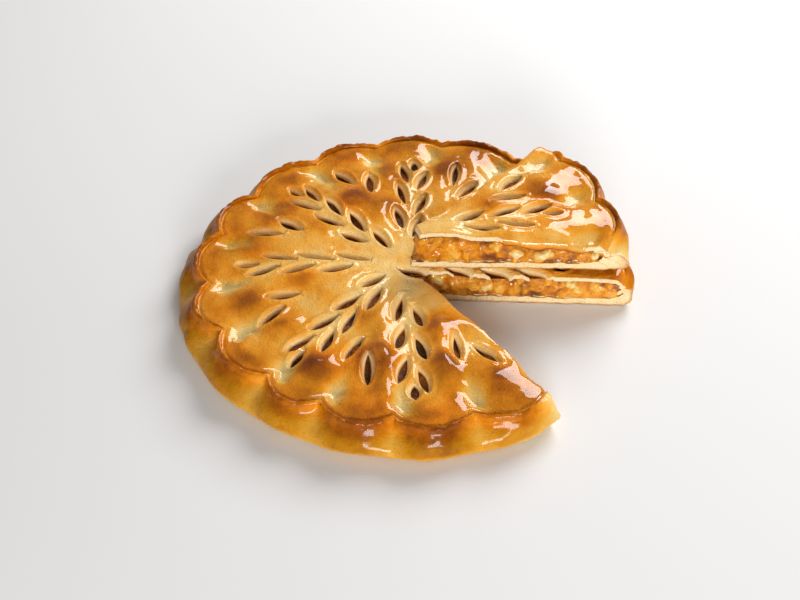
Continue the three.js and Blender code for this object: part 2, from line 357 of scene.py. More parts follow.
@dataclass(frozen=True)
class PieForm:
    """The whole pie's form before it is cut, with its crimped edge. Millimetres and degrees."""

    foot_radius: float = 151.0
    lid_radius: float = 146.6
    lid_thickness: float = 4.8
    lid_corners: tuple[Pair, ...] = (
        (0.0, 28.5), (30.0, 29.2), (60.0, 29.6), (90.0, 29.0), (115.0, 27.7), (131.0, 26.0), (141.0, 24.5),
        (146.6, 23.2), (150.0, 22.4),
    )
    lid_edge_level: float = 24.0
    pinches: tuple[float, ...] = (
        -50.0, -31.8, -12.5, 11.5, 34.5, 57.5, 79.3, 98.9, 119.0, 143.0, 162.5, 184.0, 204.5, 227.0, 244.8,
        266.0, 287.8,
    )
    scallop_bulge: float = 1.0
    pinch_depth: float = 7.2
    pinch_swing: float = 2.8
    shallow_deg: float = 45.0
    pinch_drop: float = 0.6
    foot_bow: float = 1.8
    bow_levels: Pair = (19.0, 24.0)
    crimp_from: float = 104.0
    crimp_levels: Pair = (12.0, 25.0)
    foot_share: float = 0.14
    lean: Pair = (3.5, 1.8)
    lean_levels: Pair = (8.0, 25.0)
    sways: Sides = ((2.0, 2.0, 0.0), (1.1, 3.0, 305.0))
    sway_from: float = 60.0
    wave_heights: Pair = (0.55, 0.35)
    wave_levels: Pair = (7.2, 20.0)
    rim_calm: float = 0.7
    thumb_depth: float = 4.0
    thumb_radius: float = 134.0
    thumb_length: Pair = (22.0, 7.5)
    thumb_spread_deg: float = 3.3
    thumb_turn_deg: float = 2.6
    thumb_side_grain: Layers = ((0.3, 9.0, 81),)
    thumb_end_grain: Layers = ((0.2, 7.0, 82),)

    @cached_property
    def lid_line(self) -> Array:
        """The lid's upper side from the middle to its edge, as radius and height."""
        return rounded(np.array(self.lid_corners), 2)

    def scallops_to(self, deg: Array) -> Array:
        """Counts the scallops from the first pinch to an angle. Made by hand, they aren't even.

        Args:
            deg: Angles about the pie's middle.

        Returns:
            The count at each angle, with its part.
        """
        turn = np.mod(deg - self.pinches[0], 360.0)
        marks = np.array([*self.pinches, self.pinches[0] + 360.0]) - self.pinches[0]
        return np.interp(turn, marks, np.arange(len(marks)))

    def pinch_at(self, deg: Array, bow: float = 0.85) -> Array:
        """Gives how hard the dough is pinched: 1 at a pinch, 0 at a scallop's middle. A low bow is sharp."""
        return 1.0 - np.sin(np.pi * np.mod(self.scallops_to(deg), 1.0)) ** bow

    def beside_pinch(self, deg: Array) -> Array:
        """Gives the degrees from the nearest pinch, of either sign."""
        turn = self.scallops_to(deg)
        return (turn - np.round(turn)) * 360.0 / len(self.pinches)

    @staticmethod
    def around(deg: Array, sides: Sides) -> Array:
        """Adds up what lies to some sides of the pie, each with its angle, its spread and its share.

        Args:
            deg: Angles about the pie's middle.
            sides: The sides.

        Returns:
            The sum at each angle.
        """
        total = np.zeros(len(deg))
        for turn, spread, share in sides:
            total += share * fade(apart(deg, turn), spread)
        return total

    def thumb_at(self, deg: Array, radius: Array) -> Array:
        """Gives the thumb mark inside each pinch: 1 at its middle.

        Args:
            deg: Angles about the pie's middle.
            radius: Radii before the edge is crimped.

        Returns:
            The mark's strength at each place.
        """
        turn = np.radians(deg)
        points = np.column_stack([radius * np.cos(turn), radius * np.sin(turn), np.zeros_like(radius)])
        across = self.beside_pinch(deg - self.thumb_turn_deg) / self.thumb_spread_deg
        across = across + layered(points, self.thumb_side_grain)
        out = radius - self.thumb_radius
        out = np.where(out < 0.0, out / self.thumb_length[0], out / self.thumb_length[1])
        out = out + layered(points, self.thumb_end_grain)
        return np.exp(-((across**2 + out**2) ** 1.2))

    def lid_height(self, radius: Array) -> Array:
        """Gives the plain lid's upper side at a radius."""
        return np.interp(radius, self.lid_line[:, 0], self.lid_line[:, 1])

    def near_rim(self, radius: Array) -> Array:
        """Gives how near a radius is to the crimped edge: 1 at the edge."""
        return smooth(radius, self.crimp_from, self.lid_radius)

    def widened(self, radius: Array, deg: Array, height: Array) -> Array:
        """Gives the radius of a point once the edge is crimped and the round is uneven.

        Args:
            radius: Radii before the edge is crimped.
            deg: Angles about the pie's middle.
            height: Heights before the edge is crimped.

        Returns:
            The new radii.
        """
        turn = np.radians(deg)
        rim = self.near_rim(radius)
        deep = self.pinch_depth - self.pinch_swing * np.cos(np.radians(deg - self.shallow_deg))
        sharp = smooth(height, *self.bow_levels)
        pinch = self.pinch_at(deg) * sharp + self.pinch_at(deg, self.foot_bow) * (1.0 - sharp)
        pull = self.scallop_bulge - (self.scallop_bulge + deep) * pinch
        lean = (self.lean[0] * np.cos(turn) + self.lean[1] * np.sin(turn)) * rim
        reach = rim * (self.foot_share + (1.0 - self.foot_share) * smooth(height, *self.crimp_levels))
        sway = sum(size * np.cos(np.radians(waves * (deg - start))) for size, waves, start in self.sways)
        sway = sway * smooth(radius, self.sway_from, self.foot_radius)
        return radius + reach * pull + lean * smooth(height, *self.lean_levels) + sway

    def place(self, radius: Array, deg: Array, height: Array) -> Array:
        """Takes points of the plain round pie to their places in the crimped one.

        Args:
            radius: Radii before the edge is crimped.
            deg: Angles about the pie's middle.
            height: Heights before the edge is crimped.

        Returns:
            One row of three numbers a point.
        """
        wide = self.widened(radius, deg, height)
        x = wide * np.cos(np.radians(deg))
        y = wide * np.sin(np.radians(deg))
        rim = self.near_rim(radius)
        drop = self.pinch_drop * rim * self.pinch_at(deg) ** 1.4
        drop = drop + self.thumb_depth * self.thumb_at(deg, radius)
        wave = self.wave_heights[0] * np.sin(x / 17.0 + 0.6) * np.cos(y / 21.0 - 0.4)
        wave = wave + self.wave_heights[1] * np.sin((x + y) / 12.5)
        rise = smooth(height, *self.wave_levels) * (wave * (1.0 - self.rim_calm * rim) - drop)
        return np.column_stack([x, y, height + rise])

    def plain_radius(self, spots: Array) -> Array:
        """Gives the radius that a place on the lid had before the edge was crimped.

        Args:
            spots: One row of two numbers a place.

        Returns:
            The radii before crimping.
        """
        deg = angles_of(spots)
        wide = radii_of(spots)
        level = np.full_like(wide, self.lid_edge_level)
        radius = wide.copy()
        for _ in range(14):
            radius = wide - (self.widened(radius, deg, level) - radius)
        return radius


@dataclass(frozen=True)
class Portion:
    """One portion of the pie: the wedge between two cuts, and where it is set down, in mm and degrees."""

    name: str
    start_deg: float
    end_deg: float
    apex: Pair = CUT_APEX
    core: float = 22.0
    tip_loss: float = 0.0
    tip_deg: float = -27.0
    tip_lean_deg: float = 14.0
    tip_level: float = 13.8
    lid_level: float = 27.0
    turn_deg: float = 0.0
    apex_to: tuple[float, float, float] = (*CUT_APEX, 0.0)
    origin_to: Pair = (0.4, -0.4)
    sinks: Pair = (1.0, 1.0)
    heel: float = 0.0
    heel_spread: float = 8.0
    tucks: Sides = ()

    @property
    def sweep_deg(self) -> float:
        """The angle between the two cuts, through the portion."""
        return self.end_deg - self.start_deg

    @property
    def cuts(self) -> tuple[Pair, Pair]:
        """The two cuts, each as its angle and the side that its open face looks to."""
        return (self.start_deg, -1.0), (self.end_deg, 1.0)

    def tip_line(self, height: Array | float) -> Array | float:
        """Gives how far from the cuts' meeting point the lost tip ends, at a height."""
        lean = math.radians(self.tip_lean_deg)
        return (self.tip_loss + (height - self.tip_level) * math.sin(lean)) / math.cos(lean)

    def from_tip(self, spots: Array) -> Array:
        """Gives how far places on the lid lie from the end of the lost tip.

        Args:
            spots: One row of two numbers a place.

        Returns:
            The distances, which are large everywhere where no tip is lost.
        """
        if not self.tip_loss:
            return np.full(len(spots), FAR_AWAY)
        return (spots - np.array(self.apex)) @ way_of(self.tip_deg) - self.tip_line(self.lid_level)

    def plain(self, radius: Array, turn_deg: Array, height: Array) -> tuple[Array, Array]:
        """Takes points that were spun about the apex to polar places about the pie's middle.

        Args:
            radius: The wanted radii about the pie's middle.
            turn_deg: Angles from the first cut, about the apex.
            height: Heights of the points.

        Returns:
            Radii and angles about the pie's middle.
        """
        turn = np.radians(self.start_deg + turn_deg)
        way = np.column_stack([np.cos(turn), np.sin(turn)])
        apex = np.array(self.apex)
        lean = way @ apex
        far = -lean + np.sqrt(lean**2 + np.maximum(radius, self.core) ** 2 - apex @ apex)
        near = np.zeros_like(radius)
        if self.tip_loss:
            near = self.tip_line(height) / (way @ way_of(self.tip_deg))
        out = np.where(radius >= self.core, far, near + (far - near) * radius / self.core)
        spots = apex + way * out[:, None]
        return radii_of(spots), angles_of(spots)

    def holds(self, spots: Array) -> Array:
        """Tells which places lie between the portion's cuts."""
        deg = angles_of(spots - np.array(self.apex))
        return (np.mod(deg - self.start_deg, 360.0) < self.sweep_deg) & (self.from_tip(spots) > 0.0)

    def cut_gaps(self, spots: Array) -> list[Array]:
        """Measures how far places are from each of the two cuts.

        Args:
            spots: One row of two numbers a place.

        Returns:
            The distances from the first cut, and those from the second.
        """
        away = spots - np.array(self.apex)
        gaps = []
        for deg, _ in self.cuts:
            run = np.maximum(away @ way_of(deg), 0.0)
            gaps.append(np.linalg.norm(away - np.outer(run, way_of(deg)), axis=1))
        return gaps

    def from_cuts(self, spots: Array) -> Array:
        """Gives the distance of places from the nearer of the two cuts."""
        return np.minimum(*self.cut_gaps(spots))

    def sunk_at(self, spots: Array, spread: float) -> Array:
        """Gives where the edge has sunk beside the cuts: each cut's own share on it, less over the spread."""
        shares = zip(self.sinks, self.cut_gaps(spots))
        return np.maximum(*(share * fade(gap, spread) for share, gap in shares))

    def heel_at(self, spots: Array) -> Array:
        """Gives how much thicker the side of the crust is near the first cut."""
        return self.heel * fade(run_and_off(spots, self.apex, self.start_deg)[1], self.heel_spread)

    def settle(self, points: Array) -> Array:
        """Takes points of the whole pie to where this portion lies, in the row frame in metres.

        Args:
            points: Places in the whole pie, in millimetres.

        Returns:
            Places in the row frame, in metres.
        """
        away = points - np.array([*self.apex, 0.0])
        way = way_of(self.turn_deg)
        flat = np.outer(away[:, 0], way) + np.outer(away[:, 1], left_of(way))
        moved = np.column_stack([flat, away[:, 2]])
        return (moved + np.array(self.apex_to) + np.array([*self.origin_to, 0.0])) * MILLIMETRE


@dataclass
class Wedge:
    """A section spun about the cuts' meeting point, and what its vertices know of the plain pie.

    The section holds radius and height by column and row. The two end faces are cut finer.
    """

    name: str
    section: Array
    form: PieForm
    portion: Portion
    step_deg: float
    finer_caps: int
    end_gap_deg: float = 1e-3
    merge_gap: float = 0.004
    least_edge: float = 1e-5

    def __post_init__(self) -> None:
        """Spins the section and finds the places of its vertices in the crimped pie."""
        self.piece = self.spin()
        spun = points_of(self.piece)
        self.turn = self.turns()
        self.at_end = self.ends()
        self.height = spun[:, 2]
        self.inward = painted(self.piece, "inward")
        self.radius, self.deg = self.portion.plain(radii_of(spun), self.turn, self.height)
        self.points = self.form.place(self.radius, self.deg, self.height)

    def spin(self) -> Piece:
        """Spins the section about the upright axis into a closed wedge.

        Returns:
            The object, with its rows painted as "inward".
        """
        columns, rows = self.section.shape[0] - 1, self.section.shape[1] - 1
        bpy.ops.object.select_all(action="DESELECT")
        bpy.ops.mesh.primitive_grid_add(x_subdivisions=columns, y_subdivisions=rows, size=1.0)
        self.piece = bpy.context.active_object
        self.piece.name = self.name
        flat = points_of(self.piece)
        column = np.rint((flat[:, 0] + 0.5) * columns).astype(int)
        row = np.rint((flat[:, 1] + 0.5) * rows).astype(int)
        spots = self.section[column, row]
        move_points(self.piece, np.column_stack([spots[:, 0], np.zeros(len(spots)), spots[:, 1]]))
        paint(self.piece, "inward", row / rows)
        sweep = self.portion.sweep_deg
        steps = int(round(sweep / self.step_deg))
        with Editing(self.piece):
            bpy.ops.mesh.select_all(action="SELECT")
            bpy.ops.mesh.spin(steps=steps, angle=-math.radians(sweep), center=(0, 0, 0), axis=(0, 0, 1))
        choose(self.piece, MeshPart.FACES, faces_where(self.piece, self.ends()))
        with Editing(self.piece):
            bpy.ops.mesh.subdivide(number_cuts=self.finer_caps)
        return self.piece

    def turns(self) -> Array:
        """Gives the angle that each vertex was spun by, in degrees from 0 up."""
        return np.mod(angles_of(points_of(self.piece)) + 1.0, 360.0) - 1.0

    def ends(self) -> Array:
        """Marks the vertices of the spun piece that lie on its two end faces."""
        turn = self.turns()
        return (turn < self.end_gap_deg) | (turn > self.portion.sweep_deg - self.end_gap_deg)

    def face(self, side: float) -> Array:
        """Marks the vertices of the first end face, on side -1, or of the second, on side 1."""
        return self.at_end & ((self.turn < 1.0) if side < 0.0 else (self.turn > 1.0))

    def close_up(self) -> None:
        """Merges the vertices that have come together, turns all faces outwards, and settles the piece."""
        move_points(self.piece, self.points)
        bpy.context.tool_settings.mesh_select_mode = (True, False, False)
        with Editing(self.piece):
            bpy.ops.mesh.select_all(action="SELECT")
            bpy.ops.mesh.remove_doubles(threshold=self.merge_gap)
            bpy.ops.mesh.dissolve_degenerate(threshold=self.least_edge)
            bpy.ops.mesh.select_all(action="SELECT")
            bpy.ops.mesh.normals_make_consistent(inside=False)
        move_points(self.piece, self.portion.settle(points_of(self.piece)))


# The pieces


@dataclass(frozen=True)
class CrustBake:
    """How far the crust is baked, from 0 to 1, and how much each feature adds or takes."""

    foot: float = 0.33
    side: float = 0.4
    crest: float = 0.02
    # The darker band under the ridge at each scallop's middle: partly painted shade under the ridge, partly
    # browning.
    shoulder_shade_and_bake: float = 0.12
    finger: float = -0.14
    cut: float = -0.26
    cut_crest: float = -0.1
    sole: float = 0.5
    grain: Layers = ((0.07, 13.0, 21), (0.04, 4.0, 22))
    sole_grain: Layers = ((0.12, 18.0, 23),)


@dataclass
class BaseCrust:
    """The sheet of dough under the filling, brought up at the side and folded into the crimped ridge."""

    form: PieForm
    portion: Portion
    floor_columns: int = 16
    wall_columns: int = 36
    rows: int = 4
    step_deg: float = 0.52
    finer_caps: int = 2
    thickness: float = 7.0
    outer_wall: tuple[Pair, ...] = (
        (148.0, 0.0), (152.5, 0.5), (155.8, 2.4), (157.8, 5.2), (158.5, 8.5), (158.4, 12.0), (157.6, 16.0),
        (156.0, 19.5), (153.7, 22.4), (152.3, 24.2),
    )
    inner_wall: tuple[Pair, ...] = (
        (140.0, 7.0), (145.0, 8.6), (148.0, 11.5), (149.2, 15.0), (149.4, 18.0), (149.0, 20.5), (148.6, 22.5),
        (148.6, 24.0),
    )
    outer_bead_deg: tuple[float, ...] = (-5.0, 20.0, 45.0, 68.0, 90.0)
    inner_bead_deg: tuple[float, ...] = (192.0, 165.0, 140.0, 114.0, 90.0)
    bead_middle: Pair = (150.3, 25.7)
    bead_radius: float = 1.9
    finger_depth: float = 3.2
    finger_height: float = 16.0
    belly: float = 0.9
    foot_grain: Layers = ((1.9, 30.0, 3),)
    side_grain: Layers = ((0.9, 11.0, 4), (0.4, 5.0, 14))
    edge_grain: Layers = ((1.2, 19.0, 9),)
    bead_grain: Layers = ((0.5, 4.2, 5), (0.25, 2.0, 6))
    crest_grain: Layers = ((1.1, 4.0, 7), (0.5, 1.9, 8), (0.8, 19.0, 10))
    crumb_grain: Layers = ((0.6, 2.6, 11), (0.45, 1.3, 12))
    crumb_loss: float = 0.2
    sole_rough: Layers = ((0.7, 3.0, 13),)
    sunk_spread: float = 9.0
    sunk_drop: float = 9.2
    sunk_ridge: float = 2.4
    sunk_wall: float = 2.6
    pale_sides: Sides = ((217.0, 38.0, 0.14), (303.0, 11.0, 0.22), (95.0, 60.0, 0.08))
    bake: CrustBake = CrustBake()

    def section(self) -> Array:
        """Draws the section from the pie's middle to the ridge.

        Returns:
            Radius and height by column, and by row from the outside to the inside.
        """
        outside = (self.outer_wall, self.outer_bead_deg, 0.0)
        inside = (self.inner_wall, self.inner_bead_deg, self.thickness)
        lines = []
        for wall, bead_deg, height in (outside, inside):
            bead = [np.array(self.bead_middle) + self.bead_radius * way_of(deg) for deg in bead_deg]
            line = rounded(np.array([*wall, *bead]), 1)
            floor = np.linspace(0.0, wall[0][0], self.floor_columns + 1)[:-1]
            floor = np.column_stack([floor, np.full(len(floor), height)])
            lines.append(np.vstack([floor, along(line, self.wall_columns)]))
        return filled_in(lines[0], lines[1], self.rows)

    def build(self) -> Piece:
        """Makes the crust's mesh in its place.

        Returns:
            The object, with its browning painted on.
        """
        name = f"{self.portion.name}_base_crust"
        wedge = Wedge(name, self.section(), self.form, self.portion, self.step_deg, self.finer_caps)
        self.press(wedge)
        self.crumble(wedge)
        self.brown(wedge)
        paint(wedge.piece, "cut", wedge.at_end.astype(float))
        wedge.close_up()
        on_cut = faces_where(wedge.piece, painted(wedge.piece, "cut") > 0.5)
        dress(wedge.piece, [Finish.BAKED, Finish.CRUMB], on_cut, CRUST_BEND_DEG)
        return wedge.piece

    def finger_at(self, deg: Array, height: Array) -> Array:
        """Gives the finger mark under each pinch: 1 at its middle."""
        return fade(self.form.beside_pinch(deg), 3.2) * fade(height - self.finger_height, 5.5)

    def press(self, wedge: Wedge) -> None:
        """Adds the finger marks, the wavy foot, the sunken ends and the hand-made unevenness.

        Args:
            wedge: The crust, whose points are moved.
        """
        points, radius, deg, height = wedge.points, wedge.radius, wedge.deg, wedge.height
        wall = smooth(radius, 140.0, 150.0)
        edge = smooth(radius, 146.0, 148.0)
        skin = (1.0 - wedge.inward) * wall
        ridge = smooth(height, 22.5, 25.5) * edge
        belly = self.belly * (1.0 - self.form.pinch_at(deg)) * fade(height - 13.0, 6.0)
        foot = layered(points, self.foot_grain) * smooth(height, 14.0, 2.0)
        tuck = smooth(height, 12.0, 0.0) - 0.4 * smooth(height, 7.0, 17.0)
        tuck = tuck * self.form.around(deg, self.portion.tucks)
        push = foot + layered(points, self.side_grain) + belly - tuck
        push = skin * (push - self.finger_depth * self.finger_at(deg, height))
        push += layered(points, self.edge_grain) * smooth(height, 15.0, 22.0) * edge
        push += ridge * layered(points, self.bead_grain)
        push -= wedge.inward * smooth(radius, 136.0, 146.0) * self.portion.heel_at(points[:, :2])
        at_cut = self.portion.sunk_at(points[:, :2], self.sunk_spread)
        push -= self.sunk_ridge * ridge * at_cut
        push -= self.sunk_wall * wall * smooth(height, 4.0, 16.0) * at_cut**2
        lift = ridge * layered(points, self.crest_grain)
        lift -= self.sunk_drop * wall * smooth(height, 12.0, 28.0) * at_cut
        turn = np.radians(deg)
        wedge.points = points + np.column_stack([push * np.cos(turn), push * np.sin(turn), lift])

    def crumble(self, wedge: Wedge) -> None:
        """Roughens the two cut faces and their lower edge.

        Args:
            wedge: The crust, whose points are moved.
        """
        moved = wedge.points.copy()
        rough = layered(wedge.points, self.crumb_grain) - self.crumb_loss
        for deg, side in self.portion.cuts:
            face = wedge.face(side)
            moved[face, :2] += np.outer(rough[face], way_of(deg + 90.0 * side))
        low = wedge.at_end & (wedge.height < 1.0)
        moved[low, 2] += np.abs(layered(wedge.points[low], self.sole_rough))
        wedge.points = moved

    def brown(self, wedge: Wedge) -> None:
        """Paints how far each place is baked, with some painted shade in the band under the ridge.

        Args:
            wedge: The crust.
        """
        piece, points, radius, deg, height = wedge.piece, wedge.points, wedge.radius, wedge.deg, wedge.height
        middle = 1.0 - self.form.pinch_at(deg)
        crest = smooth(height, 22.5, 26.5)
        bake = self.bake.foot + self.bake.side * smooth(height, 2.0, 12.0) * (0.6 + 0.4 * middle)
        # The band under the ridge is partly painted shade and partly browning.
        bake += self.bake.crest * crest + self.bake.shoulder_shade_and_bake * smooth(height, 15.0, 21.0) * middle
        bake += self.bake.finger * self.finger_at(deg, height) - self.form.around(deg, self.pale_sides)
        near_cut = fade(self.portion.from_cuts(points[:, :2]), 13.0)
        bake += (self.bake.cut + self.bake.cut_crest * crest) * near_cut + layered(points, self.bake.grain)
        sole = smooth(radius, 152.0, 146.0) * smooth(height, 1.0, 0.2)
        bake = bake * (1.0 - sole) + sole * (self.bake.sole + layered(points, self.bake.sole_grain))
        toast = np.maximum(smooth(height, 1.6, 0.2), 0.8 * smooth(1.0 - wedge.inward, 0.7, 1.0))
        paint(piece, "bake", np.clip(bake, 0.0, 1.0))
        paint(piece, "olive", 0.72 - 0.55 * smooth(height, 16.0, 23.0))
        paint(piece, "bare", np.zeros(len(points)))
        paint(piece, "toast", toast * smooth(radius, 4.0, 8.0))


@dataclass(frozen=True)
class Leaf:
    """One leaf slit, from its inner tip to its outer tip."""

    inner: Pair
    outer: Pair
    width: float
    belly: float = 0.58
    end_slope: float = 0.3

    @cached_property
    def axis(self) -> tuple[Array, Array, float]:
        """The direction along the leaf, the direction across it, and its length."""
        run = np.array(self.outer) - np.array(self.inner)
        length = float(np.linalg.norm(run))
        return run / length, left_of(run / length), length

    def outline(self, steps: int) -> Array:
        """Draws the slit's edge.

        Args:
            steps: The number of steps on each side.

        Returns:
            The edge's places, counter-clockwise.
        """
        way, across, length = self.axis
        share = np.linspace(0.0, 1.0, steps + 1)
        bow = 2.0 * share * (1.0 - share)
        middle = np.array(self.inner) + np.outer((bow * self.belly + share**2) * length, way)
        half = np.outer(bow * self.width, across)
        return np.vstack([(middle - half)[:-1], (middle + half)[:0:-1]])

    def rings(self, steps: int, offsets: tuple[float, ...]) -> Array:
        """Places points round the slit at set distances from its edge.

        Args:
            steps: The number of steps on each side.
            offsets: The distances.

        Returns:
            The points.
        """
        edge = self.outline(steps)
        run = np.roll(edge, -1, 0) - np.roll(edge, 1, 0)
        out = np.column_stack([run[:, 1], -run[:, 0]])
        out /= np.linalg.norm(out, axis=1)[:, None]
        return np.vstack([edge + offset * out for offset in offsets])

    def narrowed(self, spots: Array, share: Array) -> Array:
        """Draws places on the slit's edge in towards its middle line.

        Args:
            spots: One row of two numbers a place.
            share: How much of the half width is lost at each place.

        Returns:
            The moved places.
        """
        way, across, length = self.axis
        away = spots - np.array(self.inner)
        off = (away @ across) * (1.0 - share)
        widest = self.belly * length
        run = widest + (away @ way - widest) * (1.0 - self.end_slope * share)
        return np.array(self.inner) + np.outer(run, way) + np.outer(off, across)


def edge_distance(spots: Array, leaves: list[Leaf], steps: int) -> tuple[Array, Array]:
    """Measures how far places are from the nearest slit.

    Args:
        spots: One row of two numbers a place.
        leaves: The slits.
        steps: The number of steps on each side of a slit's edge.

    Returns:
        The distance from the nearest edge, less than 0 inside a slit, and the number of that slit.
    """
    reach = 22.0
    least = np.full(len(spots), FAR_AWAY)
    nearest = np.full(len(spots), -1)
    for number, leaf in enumerate(leaves):
        edge = leaf.outline(steps)
        in_reach = (spots > edge.min(0) - reach) & (spots < edge.max(0) + reach)
        close = np.nonzero(np.all(in_reach, axis=1))[0]
        if not len(close):
            continue
        run = np.roll(edge, -1, 0) - edge
        away = spots[close][:, None, :] - edge[None, :, :]
        part = np.clip((away * run).sum(2) / (run * run).sum(1), 0.0, 1.0)
        gap = np.linalg.norm(away - part[:, :, None] * run, axis=2).min(1)
        inside = np.all(run[:, 0] * away[:, :, 1] - run[:, 1] * away[:, :, 0] >= 0.0, axis=1)
        signed = np.where(inside, -gap, gap)
        better = signed < least[close]
        least[close[better]] = signed[better]
        nearest[close[better]] = number
    return least, nearest


@dataclass(frozen=True)
class Spray:
    """One spray of slits: its direction, its first slits, the step from slit to slit, and how they gape."""

    deg: float
    clockwise: float
    counter: float
    pitch: float
    gape: float


@dataclass
class SlitPattern:
    """All the leaf slits of the lid, in the same places as in the solids."""

    centre: Pair = (-2.0, 9.0)
    sprays: tuple[Spray, ...] = (
        Spray(-2.0, 27.0, 38.0, 25.5, 0.85),
        Spray(43.0, 24.0, 36.0, 25.5, 0.85),
        Spray(86.0, 28.0, 37.0, 25.5, 0.9),
        Spray(135.5, 18.0, 35.0, 24.2, 0.85),
        Spray(180.6, 24.5, 37.0, 26.0, 0.68),
        Spray(231.8, 19.0, 31.0, 25.5, 0.8),
        Spray(273.2, 33.0, 43.0, 28.5, 0.86),
        Spray(322.0, 53.0, 47.0, 24.5, 0.7),
    )
    length: float = 23.0
    width: float = 8.0
    last_start: float = 102.0
    inner_offset: float = 3.4
    outer_offset: float = 9.8
    tip_step: float = 14.0
    tip_length: float = 14.0
    pair_starts: Pair = (80.0, 93.0)
    pair_inner_offset: float = 4.0
    pair_outer_offset: float = 11.0
    tear_deg: float = -22.0
    tear_ends: Pair = (-11.7, 14.3)
    tear_width: float = 9.0
    seed: int = 20

    def leaned(self, dice: Dice, deg: float, start: float, length: float, offsets: Pair, gape: float) -> Leaf:
        """Draws one slit that leans away from its spray.

        Args:
            dice: The draws.
            deg: The spray's direction.
            start: How far along the slit starts.
            length: The slit's length.
            offsets: How far its inner and outer tips stand off.
            gape: The share of the full width to which it opens.

        Returns:
            The slit.
        """
        first = start + dice.draw()
        last = first + length * (1.0 + 0.08 * dice.draw())
        off = offsets[1] * (1.0 + 0.12 * dice.draw())
        width = gape * self.width * (1.0 + 0.18 * dice.draw())
        return Leaf(spot_at(self.centre, deg, first, offsets[0]), spot_at(self.centre, deg, last, off), width)

    def leaves(self) -> list[Leaf]:
        """Draws every slit of the lid.

        Returns:
            The slits.
        """
        dice = Dice(self.seed)
        made = []
        turns = [spray.deg for spray in self.sprays] + [self.sprays[0].deg + 360.0]
        for number, spray in enumerate(self.sprays):
            furthest = 0.0
            for start, hand in ((spray.clockwise, -1.0), (spray.counter, 1.0)):
                offsets = (hand * self.inner_offset, hand * self.outer_offset)
                while start < self.last_start:
                    made.append(self.leaned(dice, spray.deg, start, self.length, offsets, spray.gape))
                    furthest = max(furthest, start)
                    start += spray.pitch
            tip = furthest + self.tip_step
            made.append(self.leaned(dice, spray.deg, tip, self.tip_length, (0.0, 0.0), spray.gape))
            between = (turns[number] + turns[number + 1]) / 2.0
            for start, hand in zip(self.pair_starts, (-1.0, 1.0)):
                offsets = (hand * self.pair_inner_offset, hand * self.pair_outer_offset)
                made.append(self.leaned(dice, between, start, self.length, offsets, spray.gape))
        return made

    def tear(self) -> Leaf:
        """Draws the tear in the lid at the cuts' meeting point."""
        inner, outer = (spot_at(CUT_APEX, self.tear_deg, run) for run in self.tear_ends)
        return Leaf(inner, outer, self.tear_width)


@dataclass(frozen=True)
class Dome:
    """One place where the lid stands up over the fruit, and browns first."""

    deg: float
    radius: float
    spread: float
    height: float


@dataclass(frozen=True)
class Fold:
    """One long fold of the lid beside a spray: how far off it is, its two ends, its width and its height."""

    spray: int
    off: float
    start: float
    end: float
    spread: float
    height: float


@dataclass(frozen=True)
class Swell:
    """One place along the first or the second cut where the lid stands higher or has sagged."""

    cut: int
    run: float
    length: float
    depth: float
    height: float


@dataclass(frozen=True)
class LidBake:
    """How far the lid is baked, from 0 to 1, and how much each feature adds or takes."""

    plain: float = 0.33
    outer: float = 0.24
    dome: float = 0.44
    pad: float = 0.2
    slit: float = -0.14
    stem: float = -0.12
    middle: float = -0.12
    thumb: float = -0.46
    rim: float = -0.1
    # The bake given deep down the lid's sides: painted shade deep in the slits, with the syrup stain there.
    deep_shade_and_stain: float = 0.86
    grain: Layers = ((0.11, 17.0, 51), (0.06, 6.0, 52))


@dataclass
class Ground:
    """Places on the flat lid, their radii before crimping, their angles, and their distance from a slit."""

    spots: Array
    radius: Array
    deg: Array
    gap: Array


